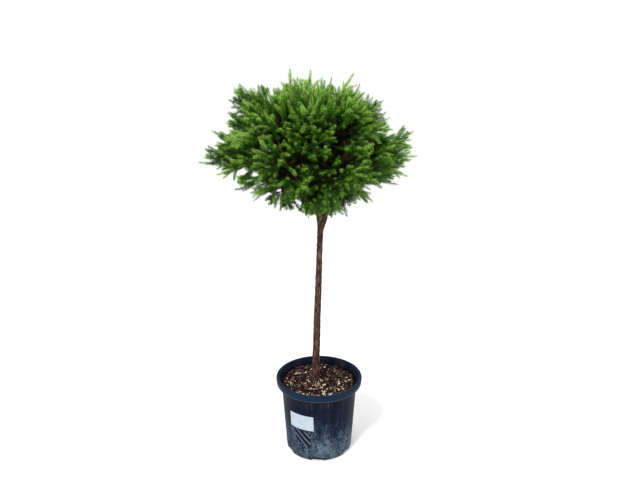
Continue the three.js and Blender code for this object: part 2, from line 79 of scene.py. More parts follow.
class Field:
    """A number that varies over a surface, worked out in the nodes of one material."""

    def __init__(self, finish: "NodeFinish", socket: bpy.types.NodeSocket) -> None:
        """Wraps an output socket of a material."""
        self.finish, self.socket = finish, socket

    def __add__(self, other: Number) -> "Field":
        """The sum."""
        return maths("ADD", self, other)

    def __radd__(self, other: Number) -> "Field":
        """The sum, with the field on the right."""
        return maths("ADD", other, self)

    def __sub__(self, other: Number) -> "Field":
        """The difference."""
        return maths("SUBTRACT", self, other)

    def __rsub__(self, other: Number) -> "Field":
        """The difference, with the field on the right."""
        return maths("SUBTRACT", other, self)

    def __mul__(self, other: Number) -> "Field":
        """The product."""
        return maths("MULTIPLY", self, other)

    def __rmul__(self, other: Number) -> "Field":
        """The product, with the field on the right."""
        return maths("MULTIPLY", other, self)

    def above(self, level: float, softness: float) -> "Field":
        """A mask of where the field is above a level.

        Args:
            level: Where the mask is a half.
            softness: How wide its edge is, to each side.

        Returns:
            A field from 0 to 1.
        """
        values = {"Value": self, "From Min": level - softness, "From Max": level + softness}
        made = self.finish.node("ShaderNodeMapRange", {"interpolation_type": "SMOOTHSTEP"}, values)
        return Field(self.finish, made.outputs["Result"])

    def below(self, level: float, softness: float) -> "Field":
        """A mask of where the field is below a level."""
        return 1 - self.above(level, softness)


class NodeFinish:
    """A material whose nodes are laid by expressions."""

    def __init__(self, name: str) -> None:
        """Makes an empty node material with one principled shader.

        Args:
            name: The material's name.
        """
        self.material = bpy.data.materials.new(name)
        self.material.use_nodes = True
        self.tree = self.material.node_tree
        self.tree.nodes.clear()
        self.shader = self.tree.nodes.new("ShaderNodeBsdfPrincipled")
        output = self.tree.nodes.new("ShaderNodeOutputMaterial")
        self.tree.links.new(self.shader.outputs["BSDF"], output.inputs["Surface"])

    def node(
        self, kind: str, settings: Optional[dict] = None, values: Optional[dict] = None
    ) -> bpy.types.Node:
        """Adds a node.

        Args:
            kind: The node's type.
            settings: Its own properties, set first.
            values: What its sockets get: numbers, colours, fields or sockets.

        Returns:
            The node.
        """
        made = self.tree.nodes.new(kind)
        for key, value in (settings or {}).items():
            setattr(made, key, value)
        for key, value in (values or {}).items():
            self.feed(made.inputs[key], value)
        return made

    def feed(self, target: bpy.types.NodeSocket, value: object) -> None:
        """Links a socket to a field or another socket, or sets its value.

        Args:
            target: The input socket.
            value: What it gets.
        """
        if isinstance(value, Field):
            self.tree.links.new(value.socket, target)
        elif isinstance(value, bpy.types.NodeSocket):
            self.tree.links.new(value, target)
        elif isinstance(value, tuple) and target.type == "RGBA":
            target.default_value = (*value, 1.0)
        else:
            target.default_value = value

    def place(self) -> bpy.types.NodeSocket:
        """Object coordinates."""
        return self.node("ShaderNodeTexCoord").outputs["Object"]

    def stretched(self, upright: float = 1.0) -> bpy.types.NodeSocket:
        """Object coordinates, scaled along the upright axis."""
        values = {"Vector": self.place(), "Scale": (1.0, 1.0, upright)}
        return self.node("ShaderNodeMapping", None, values).outputs["Vector"]

    def axes(self) -> tuple[Field, Field, Field]:
        """The three object coordinates, in metres."""
        split = self.node("ShaderNodeSeparateXYZ", None, {"Vector": self.place()})
        return tuple(Field(self, split.outputs[axis]) for axis in "XYZ")

    def cloud(self, scale: float, detail: float, upright: float = 1.0, rough: float = 0.55) -> Field:
        """Noise about a half, of some features to the metre and some octaves, scaled along the upright."""
        values = {"Vector": self.stretched(upright), "Scale": scale, "Detail": detail, "Roughness": rough}
        return Field(self, self.node("ShaderNodeTexNoise", {"noise_dimensions": "3D"}, values).outputs["Fac"])

    def cells(self, scale: float) -> Field:
        """How far the nearest of scattered points is, with some points to the metre."""
        values = {"Vector": self.stretched(), "Scale": scale}
        return Field(self, self.node("ShaderNodeTexVoronoi", {"feature": "F1"}, values).outputs["Distance"])

    def coated(self, colour: object, *coats: tuple[Trio, Number]) -> bpy.types.NodeSocket:
        """Lays colours over a first one.

        Args:
            colour: The first colour.
            *coats: Each coat's colour and how much of it shows.

        Returns:
            The colour socket.
        """
        for coat, share in coats:
            made = self.node("ShaderNodeMix", {"data_type": "RGBA"}, {0: share, 6: colour, 7: coat})
            colour = made.outputs[2]
        return colour

    def relief(self, height: Field, depth: float, strength: float) -> None:
        """Raises the surface by a height field, whose 1 stands for a depth in metres."""
        values = {"Height": height, "Distance": depth, "Strength": strength}
        self.feed(self.shader.inputs["Normal"], self.node("ShaderNodeBump", None, values).outputs["Normal"])

    def surface(self, **values: object) -> bpy.types.Material:
        """Sets the shader's sockets by name, with underscores for spaces.

        Args:
            **values: Numbers, colours, fields or sockets.

        Returns:
            The material.
        """
        for key, value in values.items():
            self.feed(self.shader.inputs[key.replace("_", " ")], value)
        return self.material


# Finishes


@dataclass(frozen=True)
class PotPlastic:
    """Moulded navy plastic, dusty and scuffed towards its foot, with a plain hatched patch on its wall, a
    painted highlight along the lower edge of its rim band and painted shade in a small dent.

    A pair named for an edge, a line, a foot, a top or the front is a level and how soft the mask is there.
    """

    plastic: Trio = (0.0024, 0.0046, 0.0130)
    worn: Trio = (0.0190, 0.0310, 0.0600)
    # The colour of the dust, and also of the painted highlight along the rim band's lower edge.
    dust_and_highlight: Trio = (0.1500, 0.1980, 0.2300)
    rust: Trio = (0.0230, 0.0130, 0.0140)
    rim: Trio = (0.0060, 0.0150, 0.0330)
    line: Trio = (0.17, 0.20, 0.24)
    # Painted shade: the near-black colour of a small dent on the front of the wall.
    dent_shade: Trio = (0.003, 0.003, 0.004)
    shade: Trio = (0.0006, 0.0009, 0.0020)
    worn_edge: Pair = (0.83, 0.12)
    dust_edge: Pair = (0.965, 0.13)
    dust_line: Pair = (0.125, 0.075)
    dust_most: float = 0.8
    rust_line: Pair = (0.188, 0.006)
    rim_foot: Pair = (0.2165, 0.0006)
    # The top of the painted highlight along the rim band's lower edge.
    lip_top: Pair = (0.2187, 0.001)
    rim_inside: float = 0.1205
    front: Pair = (0.0, 0.002)
    wall_radius: float = 0.105
    heel: float = 0.090
    wall_slope: float = 0.0665
    wall_foot: float = 0.0984
    patch_turn: float = -27.5
    patch_level: float = 0.079
    patch_half_width: float = 0.025
    patch_half_height: float = 0.023
    patch_softness: Pair = (0.00003, 0.00004)
    patch_slant: float = 0.42
    line_slant: float = 1.0
    line_pitch: float = 290.0
    line_edge: Pair = (0.8, 0.12)
    dent_turn: float = 10.0
    dent_level: float = 0.059
    dent_narrowing: float = 2.2
    dent_edge: Pair = (0.000026, 0.000008)

    def dressed(self) -> bpy.types.Material:
        """Lays the material.

        Returns:
            The material.
        """
        finish = NodeFinish("pot_plastic")
        x, y, z = finish.axes()
        blotches = finish.cloud(30.0, 5.0, 0.5, 0.62)
        mottle = finish.cloud(210.0, 4.0, 0.75, 0.75)
        streaks = finish.cloud(80.0, 4.0, 0.16, 0.6)
        scratches = finish.cloud(210.0, 3.0, 0.04, 0.6).above(0.67, 0.03)
        low = z.below(*self.dust_line)
        heap = blotches * 0.55 + mottle * 0.7 + streaks * 0.2
        worn = (heap + low * 0.16).above(*self.worn_edge)
        dusty = (heap + low * 0.19).above(*self.dust_edge)
        specks = finish.cells(300.0).below(0.2, 0.08) * (mottle + low * 0.2).above(0.62, 0.06)
        dusted = maths("MINIMUM", dusty * low * 0.66 + specks * 0.3 * low, self.dust_most)
        span = x * x + y * y
        outer = span.above(self.rim_inside**2, 0.0002)
        raised = z.above(*self.rim_foot)
        rim, band_edge_highlight = raised * outer, raised * z.below(*self.lip_top) * outer
        patch, lines, dent_shade = self._marks(maths("ARCTAN2", x, 0 - y), y, z)
        colour = finish.coated(
            self.plastic,
            (self.worn, worn * (low * 0.7 + 0.3)),
            (self.rust, z.above(*self.rust_line) * blotches.above(0.53, 0.05) * 0.35),
            (self.dust_and_highlight, dusted),
            (self.dust_and_highlight, scratches * blotches.above(0.5, 0.08) * 0.35),
            (self.rim, rim),
            # Painted highlight along the lower edge of the rim band, broken up by mottle.
            (self.dust_and_highlight, band_edge_highlight * mottle * 0.6),
            (self.plastic, patch * 0.9),
            (self.line, patch * lines * 0.75),
            # Painted shade in the small dent.
            (self.dent_shade, dent_shade * 0.9),
            (self.shade, self._hollow(span, z)),
        )
        finish.relief(mottle * 0.5 + scratches * 0.5 + streaks * 0.3, 0.0005, 0.5)
        return finish.surface(Base_Color=colour, Roughness=0.42 + worn * 0.25, Specular_IOR_Level=0.035)

    def _marks(self, turn: Field, y: Field, z: Field) -> tuple[Field, Field, Field]:
        """Places the hatched patch, its light lines and the painted shade of a small dent on the front of the
        wall.

        Args:
            turn: The turn about the z axis, from the front.
            y: The object's y.
            z: The object's height.

        Returns:
            The three masks.
        """
        front = y.below(*self.front)
        across = (turn - math.radians(self.patch_turn)) * self.wall_radius
        up = z - self.patch_level
        slanted = up + across * self.patch_slant
        sideways, upwards = self.patch_softness
        patch = (across * across).below(self.patch_half_width**2, sideways)
        patch = patch * (slanted * slanted).below(self.patch_half_height**2, upwards) * front
        lines = maths("SINE", (up + across * self.line_slant) * self.line_pitch).above(*self.line_edge)
        # Painted shade of a small dent: an oval spot on the front of the wall.
        aside = (turn - math.radians(self.dent_turn)) * self.wall_radius
        above = z - self.dent_level
        dent_shade = (aside * aside * self.dent_narrowing + above * above).below(*self.dent_edge)
        return patch, lines, dent_shade * front

    def _hollow(self, span: Field, z: Field) -> Field:
        """The shaded inside, seen through the notches, from the axis distance squared and the height."""
        skin = maths("MINIMUM", z + self.heel, z * self.wall_slope + self.wall_foot)
        return (maths("POWER", span, 0.5) - skin).below(0.0, 0.0005)


@dataclass(frozen=True)
class StickerPaper:
    """Matt bluish white paper, stained and crumpled."""

    paper: Trio = (0.345, 0.395, 0.455)
    stain: Trio = (0.22, 0.26, 0.31)

    def dressed(self) -> bpy.types.Material:
        """Lays the material.

        Returns:
            The material.
        """
        finish = NodeFinish("sticker_paper")
        blotches = finish.cloud(55.0, 4.0)
        fibres = finish.cloud(900.0, 2.0)
        creases = finish.cloud(120.0, 3.0, 3.0, 0.6)
        stained = (blotches * 0.5 + creases * 0.5).above(0.56, 0.1) * 0.7
        finish.relief(blotches * 0.8 + creases * 0.5 + fibres * 0.1, 0.0008, 0.5)
        return finish.surface(
            Base_Color=finish.coated(self.paper, (self.stain, stained)), Roughness=0.55 + fibres * 0.15
        )


@dataclass(frozen=True)
class GroundStuff:
    """Rough plant matter of two colours: compost, bark chips, wood flakes or grit, and the near-black packed
    twigs that are painted shade in the crown.
    """

    name: str
    dark: Trio
    light: Trio
    scale: float = 260.0
    depth: float = 0.0012

    def dressed(self) -> bpy.types.Material:
        """Lays the material.

        Returns:
            The material.
        """
        finish = NodeFinish(self.name)
        grain = finish.cloud(self.scale, 5.0, 1.0, 0.65)
        patches = finish.cloud(self.scale * 0.22, 3.0)
        share = (grain * 0.7 + patches * 0.5 - 0.1).above(0.5, 0.16)
        finish.relief(grain, self.depth, 0.8)
        colour = finish.coated(self.dark, (self.light, share))
        return finish.surface(Base_Color=colour, Roughness=0.92, Specular_IOR_Level=0.06)


@dataclass(frozen=True)
class CedarBark:
    """Purplish brown bark in long flaking fibres, with painted shade in its clefts."""

    name: str = "cedar_bark"
    # Painted shade: the near-black colour in the bark's clefts.
    cleft_shade: Trio = (0.004, 0.002, 0.002)
    body: Trio = (0.046, 0.021, 0.016)
    flake: Trio = (0.180, 0.104, 0.080)

    def dressed(self) -> bpy.types.Material:
        """Lays the material.

        Returns:
            The material.
        """
        finish = NodeFinish(self.name)
        fibres = finish.cloud(420.0, 5.0, 0.09, 0.62)
        plates = finish.cloud(90.0, 4.0, 0.22)
        mottle = finish.cloud(260.0, 3.0, 0.4, 0.6)
        flaking = fibres.above(0.55, 0.06) * (plates * 0.5 + mottle * 0.5).above(0.5, 0.08)
        colour = finish.coated(
            self.cleft_shade, (self.body, (fibres * 0.6 + mottle * 0.4).above(0.46, 0.07)), (self.flake, flaking)
        )
        finish.relief(fibres * 0.8 + plates * 0.5, 0.0018, 0.9)
        return finish.surface(Base_Color=colour, Roughness=0.88, Specular_IOR_Level=0.1)


@dataclass(frozen=True)
class TwigSkin:
    """The skin of a twig, of one colour that grain varies."""

    name: str
    dark: Trio
    light: Trio

    def dressed(self) -> bpy.types.Material:
        """Lays the material.

        Returns:
            The material.
        """
        finish = NodeFinish(self.name)
        colour = finish.coated(self.dark, (self.light, finish.cloud(500.0, 2.0)))
        return finish.surface(Base_Color=colour, Roughness=0.75)


@dataclass(frozen=True)
class NeedleSkin:
    """One plain colour of needles."""

    name: str
    colour: Trio
    roughness: float = 0.42

    def dressed(self) -> bpy.types.Material:
        """Lays the material."""
        finish = NodeFinish(self.name)
        return finish.surface(Base_Color=self.colour, Roughness=self.roughness, Specular_IOR_Level=0.07)


class Tone(Enum):
    """The plain colours that sprays of needles are dealt: brown for old needles, the darkest greens as
    painted shade, then greens up to pale tips that are partly fresh growth and partly a painted highlight.
    """

    BROWN = NeedleSkin("needles_brown", (0.060, 0.032, 0.012), 0.7)
    SHADE = NeedleSkin("needles_shade", (0.004, 0.012, 0.002), 0.6)
    DARK = NeedleSkin("needles_dark", (0.008, 0.028, 0.002), 0.5)
    DEEP = NeedleSkin("needles_deep", (0.016, 0.062, 0.002))
    GREEN = NeedleSkin("needles_green", (0.034, 0.125, 0.003))
    LEAF = NeedleSkin("needles_leaf", (0.068, 0.220, 0.004))
    FRESH = NeedleSkin("needles_fresh", (0.140, 0.360, 0.010))
    PALE = NeedleSkin("needles_pale", (0.370, 0.640, 0.110))


# Modelling by hand


def start_afresh() -> None:
    """Leaves edit mode and deselects everything."""
    if bpy.context.mode != "OBJECT":
        bpy.ops.object.mode_set(mode="OBJECT")
    bpy.ops.object.select_all(action="DESELECT")


def keep_alone(piece: bpy.types.Object) -> None:
    """Selects one object and makes it active.

    Args:
        piece: The object.
    """
    start_afresh()
    piece.select_set(True)
    bpy.context.view_layer.objects.active = piece


def pick_faces(piece: bpy.types.Object, wanted: Callable[[bpy.types.MeshPolygon], bool]) -> None:
    """Enters edit mode with only some faces selected.

    Args:
        piece: The object.
        wanted: Tells whether a face is one of them.
    """
    keep_alone(piece)
    bpy.ops.object.mode_set(mode="EDIT")
    bpy.ops.mesh.select_mode(type="FACE")
    bpy.ops.mesh.select_all(action="DESELECT")
    bpy.ops.object.mode_set(mode="OBJECT")
    for face in piece.data.polygons:
        face.select = wanted(face)
    bpy.ops.object.mode_set(mode="EDIT")


def apply_modifier(piece: bpy.types.Object, kind: str, **settings: object) -> None:
    """Adds a modifier and applies it.

    Args:
        piece: The object.
        kind: The modifier's type.
        **settings: Its properties.
    """
    keep_alone(piece)
    modifier = piece.modifiers.new(kind.title(), kind)
    for key, value in settings.items():
        setattr(modifier, key, value)
    bpy.ops.object.modifier_apply(modifier=modifier.name)


def settle(piece: bpy.types.Object, finishes: Sequence[bpy.types.Material], slot: str, *nodes: str) -> None:
    """Finishes a piece: materials, the body that it rides on and what it stands for.

    Args:
        piece: The piece.
        finishes: Its materials, in the order of its faces' indices.
        slot: The record's material slot; not used.
        *nodes: The CAD nodes that it replaces.
    """
    keep_alone(piece)
    bpy.ops.object.transform_apply(location=True, rotation=True, scale=True)
    for finish in finishes:
        piece.data.materials.append(finish)
    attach(piece, ROOT)
    if nodes:
        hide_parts(*nodes)
    piece.data.calc_loop_triangles()
    LOG.info("%s: %d triangles", piece.name, len(piece.data.loop_triangles))


def turned_form(name: str, stations: Sequence[Trio], sides: int) -> bpy.types.Object:
    """Draws a disc and extrudes it from station to station, as on a wheel.

    Args:
        name: The object's name.
        stations: Height, shift along x and radius of each station.
        sides: Corners in a ring.

    Returns:
        The closed object.
    """
    start_afresh()
    height, shift, radius = stations[0]
    bpy.ops.mesh.primitive_circle_add(
        vertices=sides, radius=radius * MM, fill_type="NGON", location=(shift * MM, 0.0, height * MM)
    )
    piece = bpy.context.active_object
    piece.name = name
    bpy.ops.object.mode_set(mode="EDIT")
    bpy.ops.mesh.select_all(action="SELECT")
    for next_height, next_shift, next_radius in stations[1:]:
        step = ((next_shift - shift) * MM, 0.0, (next_height - height) * MM)
        bpy.ops.mesh.extrude_region_move(TRANSFORM_OT_translate={"value": step})
        share = next_radius / radius
        centre = (next_shift * MM, 0.0, next_height * MM)
        bpy.ops.transform.resize(value=(share, share, 1.0), center_override=centre)
        height, shift, radius = next_height, next_shift, next_radius
    bpy.ops.mesh.select_all(action="SELECT")
    bpy.ops.mesh.normals_make_consistent(inside=False)
    bpy.ops.object.mode_set(mode="OBJECT")
    bpy.ops.object.transform_apply(location=True, rotation=True, scale=True)
    return piece


def lofted(rings: Sequence[np.ndarray], foot: np.ndarray, head: np.ndarray) -> Body:
    """Joins rings of corners into a closed skin.

    Args:
        rings: The rings, each with the same number of corners.
        foot: The middle of the first.
        head: The middle of the last.

    Returns:
        Corners and faces.
    """
    sides = len(rings[0])
    top = sides * (len(rings) - 1)
    points = np.concatenate((*rings, [foot], [head]))
    faces = []
    for row in range(0, top, sides):
        for j in range(sides):
            a, b = row + j, row + (j + 1) % sides
            faces += [(a, b, b + sides), (a, b + sides, a + sides)]
    for j in range(sides):
        after = (j + 1) % sides
        faces += [(len(points) - 2, after, j), (len(points) - 1, top + j, top + after)]
    return points, np.array(faces)


@dataclass
class Heap:
    """Triangles of many small bodies, gathered into one piece."""

    points: list[np.ndarray] = field(default_factory=list)
    triangles: list[np.ndarray] = field(default_factory=list)
    slots: list[np.ndarray] = field(default_factory=list)
    corners: int = 0
    faces: int = 0

    def add(self, points: np.ndarray, triangles: np.ndarray, slots: Union[int, np.ndarray] = 0) -> None:
        """Adds a body.

        Args:
            points: Its corners, in millimetres.
            triangles: Its faces.
            slots: Its material index, or one for each face.
        """
        self.points.append(points)
        self.triangles.append(triangles + self.corners)
        self.slots.append(np.broadcast_to(slots, len(triangles)))
        self.corners += len(points)
        self.faces += len(triangles)

    def piece(self, name: str) -> bpy.types.Object:
        """Makes the object, in metres.

        Args:
            name: Its name.

        Returns:
            The object.
        """
        mesh = bpy.data.meshes.new(name)
        triangles = np.concatenate(self.triangles).astype(np.int32).ravel()
        mesh.vertices.add(self.corners)
        mesh.vertices.foreach_set("co", (np.concatenate(self.points) * MM).astype(np.float32).ravel())
        mesh.loops.add(len(triangles))
        mesh.loops.foreach_set("vertex_index", triangles)
        mesh.polygons.add(self.faces)
        mesh.polygons.foreach_set("loop_start", np.arange(0, len(triangles), 3, dtype=np.int32))
        mesh.polygons.foreach_set("material_index", np.concatenate(self.slots).astype(np.int32))
        mesh.update(calc_edges=True)
        piece = bpy.data.objects.new(name, mesh)
        bpy.context.scene.collection.objects.link(piece)
        return piece


# The crown's rule of growth, the same as in the solids


class Seed(IntEnum):
    """Where each stream of random numbers starts."""

    CHIPS = 97
    SHREDS = 611
    PLANS = 977
    SPIRAL_LEADERS = 1000
    MASS_LEADERS = 2000
    STRAGGLERS = 3000
    FINE = 4111
    DEEP = 5303
    FINE_LEADERS = 7000
    TRUNK_SHOOTS = 8700
    INNER_SHOOTS = 8800
    DEEP_LEADERS = 9400
    NEEDLES = 20240


class Stream:
    """A fixed stream of numbers from 0 to 1."""

    factor = 48271
    modulus = 2147483647

    def __init__(self, seed: int) -> None:
        """Starts the stream at its seed."""
        self.state = seed

    def __call__(self) -> float:
        """The next number."""
        self.state = self.state * self.factor % self.modulus
        return self.state / self.modulus

    def scatter(self) -> np.ndarray:
        """Three numbers from minus a half to a half."""
        return np.array([self() - 0.5 for _ in range(3)])


def heading(turn: float, elevation: float) -> np.ndarray:
    """A direction.

    Args:
        turn: Degrees about the z axis, from +x.
        elevation: Degrees above the level.

    Returns:
        The unit vector.
    """
    turned, raised = math.radians(turn), math.radians(elevation)
    level = math.cos(raised)
    return np.array((level * math.cos(turned), level * math.sin(turned), math.sin(raised)))


def spiral(count: int) -> Iterator[tuple[int, float]]:
    """Numbers the places of a golden spiral from pole to pole, each with its elevation in degrees."""
    for place in range(count):
        yield place, math.degrees(math.asin(1 - (2 * place + 1) / count))


def unit(vector: np.ndarray) -> np.ndarray:
    """The vector's direction."""
    return vector / math.sqrt(float(vector @ vector))


def crossed(first: np.ndarray, second: np.ndarray) -> np.ndarray:
    """The cross product of two vectors."""
    (a, b, c), (d, e, f) = first, second
    return np.array((b * f - c * e, c * d - a * f, a * e - b * d))


def angle_between(first: np.ndarray, second: np.ndarray) -> float:
    """The angle between two directions, in radians."""
    return math.acos(max(-1.0, min(1.0, float(first @ second))))


def mix(first: float, second: float, share: float) -> float:
    """A number between two others."""
    return first + (second - first) * share


TRUNK_STATIONS = (
    (218.3, -11.0, 17.0), (229.0, -10.8, 14.0), (248.0, -10.0, 11.8), (300.0, -8.6, 10.8),
    (380.0, -6.6, 10.3), (460.0, -4.6, 9.8), (540.0, -1.2, 9.2), (620.0, 1.0, 8.3),
    (688.0, 3.4, 7.9), (708.0, 5.6, 9.6), (728.0, 8.0, 14.2), (750.0, 9.2, 17.6),
    (772.0, 8.4, 16.6), (800.0, 5.0, 14.4), (840.0, -1.0, 11.4), (885.0, -8.0, 7.6),
    (940.0, -12.0, 4.6),
)
TRUNK_HEIGHTS, TRUNK_SHIFTS, TRUNK_RADII = zip(*TRUNK_STATIONS)


def trunk_shift(height: float) -> float:
    """How far along x the trunk's middle lies at a height."""
    return float(np.interp(height, TRUNK_HEIGHTS, TRUNK_SHIFTS))


def trunk_centre(height: float) -> np.ndarray:
    """The trunk's middle at a height."""
    return np.array((trunk_shift(height), 0.0, height))


@dataclass(frozen=True)
class Lobe:
    """A rounded body about an upright axis, which reaches less far on its right than on its left."""

    axis: float
    level: float
    left: float
    right: float
    rise: float
    drop: float
    power_left: float
    power_right: float
    power_down: float

    def fullness(self, x: float, y: float, z: float) -> float:
        """Tells how far out a point lies.

        Args:
            x: Its x.
            y: Its y.
            z: Its height.

        Returns:
            A number below 1 inside the lobe and above 1 outside it.
        """
        x, z = x - self.axis, z - self.level
        span = math.hypot(x, y)
        right = (1 + x / span) / 2 if span > 0 else 0.5
        sideward = (y / span) ** 2 if span > 0 else 0.0
        half = mix(mix(self.left, self.right, right), (self.left + self.right) / 2, sideward)
        power = mix(self.power_left, self.power_right, right) if z > 0 else self.power_down
        height = self.rise if z > 0 else self.drop
        return (span / half) ** power + (abs(z) / height) ** power


@dataclass(frozen=True)
class Ring:
    """A ring of masses of foliage and the whorl of boughs that feeds it."""

    name: str
    count: int
    elevation: float
    turn: float
    hub: float
    whorl: float = 0.0
    bough_radius: float = 0.0

    @property
    def is_low(self) -> bool:
        """Whether it is the lowest ring, which is kept thin."""
        return self.name == "skirt"


class Grade(Enum):
    """How stout a shoot is: the room that it needs, its least length and how its side shoots lean."""

    ROPE = (11.3, 34.0, 46.0)
    FINE = (0.5, 20.0, 32.0)

    def __init__(self, room: float, shortest: float, lean: float) -> None:
        """Keeps the three numbers: two in millimetres, one in degrees."""
        self.room, self.shortest, self.lean = room, shortest, lean


class Shaded(Enum):
    """The old shoots inside the crown: the range of their tones, from brown to dark greens of painted shade,
    their bare share and their girth.
    """

    DEEP = ((0.3, 2.2), 0.25, 1.0)
    INNER = ((0.2, 2.2), 0.15, 1.05)
    BOUGH = ((-0.4, 1.7), 0.12, 1.05)
    TRUNK = ((-0.2, 1.8), 0.25, 1.0)


@dataclass
class Shoot:
    """A bowed shoot: a curve of three points, with the tone, bare share and girth that it is dressed in."""

    start: np.ndarray
    middle: np.ndarray
    end: np.ndarray
    length: float
    roll: float
    tone: float = 0.0
    bare: float = 0.0
    girth: float = 1.0

    def point(self, place: float) -> np.ndarray:
        """The curve's point at a share of its length."""
        rest = 1 - place
        return rest * rest * self.start + 2 * rest * place * self.middle + place * place * self.end

    def sampled(self, steps: int = 6) -> np.ndarray:
        """Points along the curve, its ends among them."""
        return np.array([self.point(k / steps) for k in range(steps + 1)])

    def tangent(self, place: float) -> np.ndarray:
        """The curve's direction at a share of its length."""
        return unit((1 - place) * (self.middle - self.start) + place * (self.end - self.middle))

    def frame(self, place: float) -> tuple[np.ndarray, np.ndarray]:
        """The two directions across the curve at a share of its length.

        Args:
            place: The share.

        Returns:
            The two unit vectors.
        """
        tangent = self.tangent(place)
        side = unit(crossed(tangent, unit(np.array((-tangent[1], tangent[0], 0.3)))))
        return side, crossed(tangent, side)


@dataclass
class Mass:
    """A mass of foliage: its own direction from the heart, its hub, its bough's end and its shoots."""

    name: str
    ring: Ring
    order: int
    direction: np.ndarray
    hub: np.ndarray
    planes: Optional[np.ndarray] = None
    bough: Optional[Shoot] = None
    foot: Optional[np.ndarray] = None
    core: float = 0.0
    shoots: list[Shoot] = field(default_factory=list)


@dataclass
class Crown:
    """The crown's outline, its masses and the rule by which its shoots grow."""

    heart: np.ndarray = field(default_factory=lambda: np.array((-12.0, 0.0, 900.0)))
    brim: Lobe = Lobe(-16, 923, 288, 264, 120, 176, 3, 3, 1.6)
    cap: Lobe = Lobe(-28, 938, 219, 216, 173, 72, 7, 3.7, 2)
    farthest: float = 340.0
    reach_halvings: int = 20
    rings: tuple[Ring, ...] = (
        Ring("skirt", 6, -38, 30, 0.6, 772, 5.4),
        Ring("waist", 6, 2, 0, 0.5, 802, 6.4),
        Ring("shoulder", 7, 40, 12, 0.5, 838, 5),
        Ring("top", 1, 90, 0, 0.5),
    )
    whorl_step: float = 5.0
    bough_steps: int = 4
    bough_tip_radius: float = 3.6
    bough_bend: float = 0.36
    bough_sag: float = 7.0
    core_largest: float = 58.0
    core_clearance: float = 1.5
    stem_radius: float = 3.4
    stem_length: float = 12.0
    thin_heading: Pair = (195.0, -24.0)
    thin_spread: float = 42.0
    thin_core: float = 0.45
    drift: float = 0.1
    tip_range: Pair = (0.9, 1.03)
    tip_slack: float = 0.01
    root_depth: float = 0.5
    pull_step: float = 0.12
    pull_most: float = 0.5
    side_tries: int = 4
    side_turn: float = 80.0
    side_spread: float = 12.0
    side_range: Pair = (0.8, 1.05)
    leaders_tried: int = 90
    leader_reach: float = 300.0
    stragglers: tuple[Trio, ...] = (
        (180, 2, 1.05), (-2, 3, 1.09), (4, 16, 1.08), (-8, -8, 1.1), (123, 62, 1.13),
        (100, 76, 1.14), (44, 56, 1.12), (-36, -52, 1.1), (262, -14, 1.05),
    )
    rope_sides: int = 2
    rope_first: float = 0.4
    rope_step: float = 0.17
    rope_stray: float = 0.3
    fine_sides: tuple[float, ...] = (0.36, 0.5, 0.62, 0.74)
    fine_stray: float = 0.1
    fine_leaders: int = 640
    fine_turn: float = 40.0
    fine_range: Pair = (0.9, 1.0)
    bend_range: Pair = (0.56, 0.7)
    outlier_share: float = 0.3
    outlier_stretch: float = 0.16
    straying: float = 0.42
    clump_spread: float = 26.0
    clump_depth: float = 0.09
    hanging: float = -0.25
    upturn: float = 0.06
    droop: float = 0.09
    deep_leaders: int = 300
    deep_turn: float = 20.0
    deep_range: Pair = (0.55, 0.84)
    tone_spread: float = 2.3
    side_tone_spread: float = 1.6
    leader_girth: float = 1.08
    bare_range: Pair = (0.34, 0.44)
    bare_short: float = 0.22
    short_leader: float = 90.0
    side_bare: float = 0.12
    usual_tone: float = 2.95
    # Lighter outside and darker inside: partly fresher growth, partly painted shade deeper in the crown.
    outer_freshness_and_shade: float = 0.7
    outer_edge: Pair = (0.82, 0.18)
    # Painted light: tones lighter towards the top of the crown.
    upper_light: float = 0.45
    upper_rise: float = 200.0
    side_girths: Pair = (0.82, 1.0)
    inner_shoots: int = 36
    inner_root: float = 6.0
    inner_lean: float = 0.4
    inner_range: Pair = (1.05, 1.9)
    inner_core: float = 42.0
    inner_core_low: float = 26.0
    inner_overstep: float = 4.0
    limb_room: float = 3.0
    bough_shoots: int = 13
    bough_places: Pair = (0.3, 1.0)
    bough_rises: Pair = (-60.0, 75.0)
    bough_lean: float = 0.5
    bough_range: Pair = (34.0, 70.0)
    trunk_shoots: int = 70
    trunk_levels: Pair = (805.0, 935.0)
    trunk_rises: Pair = (-30.0, 60.0)
    trunk_range: Pair = (60.0, 125.0)
    eye: Trio = (3.0, -2000.0, 1339.0)
    chink_width: float = 11.0
    chinks: tuple[Pair, ...] = (
        (-157, 834), (-110, 811), (-174, 864), (-218, 868), (-64, 776), (-142, 800), (134, 828), (79, 768),
    )

    def __post_init__(self) -> None:
        """Lays out the masses, their boughs and the limbs that shoots keep clear of."""
        self.masses = [mass for ring in self.rings for mass in self._ring_masses(ring)]
        directions = np.array([mass.direction for mass in self.masses])
        for place, mass in enumerate(self.masses):
            apart = mass.direction - np.delete(directions, place, axis=0)
            mass.planes = apart / np.linalg.norm(apart, axis=1)[:, None]
        for mass in self.masses:
            self._lay_bough(mass)
        self._gather_limbs()
        thin = heading(*self.thin_heading)
        for mass in self.masses:
            hub = mass.hub[None]
            room = min(self.depth(mass, hub), self.limb_distance(hub)) - self.core_clearance
            is_thin = angle_between(mass.direction, thin) < math.radians(self.thin_spread)
            mass.core = min(self.core_largest, room) * (self.thin_core if is_thin else 1)

    def _ring_masses(self, ring: Ring) -> list[Mass]:
        """Sets out the masses of one ring.

        Args:
            ring: The ring.

        Returns:
            The masses, with their directions and hubs.
        """
        made = []
        for order in range(ring.count):
            direction = heading(ring.turn + order * 360 / ring.count, ring.elevation)
            hub = self.heart + direction * self.reach(direction) * ring.hub
            name = f"{ring.name}_{order + 1}" if ring.count > 1 else ring.name
            made.append(Mass(name, ring, order, direction, hub))
        return made

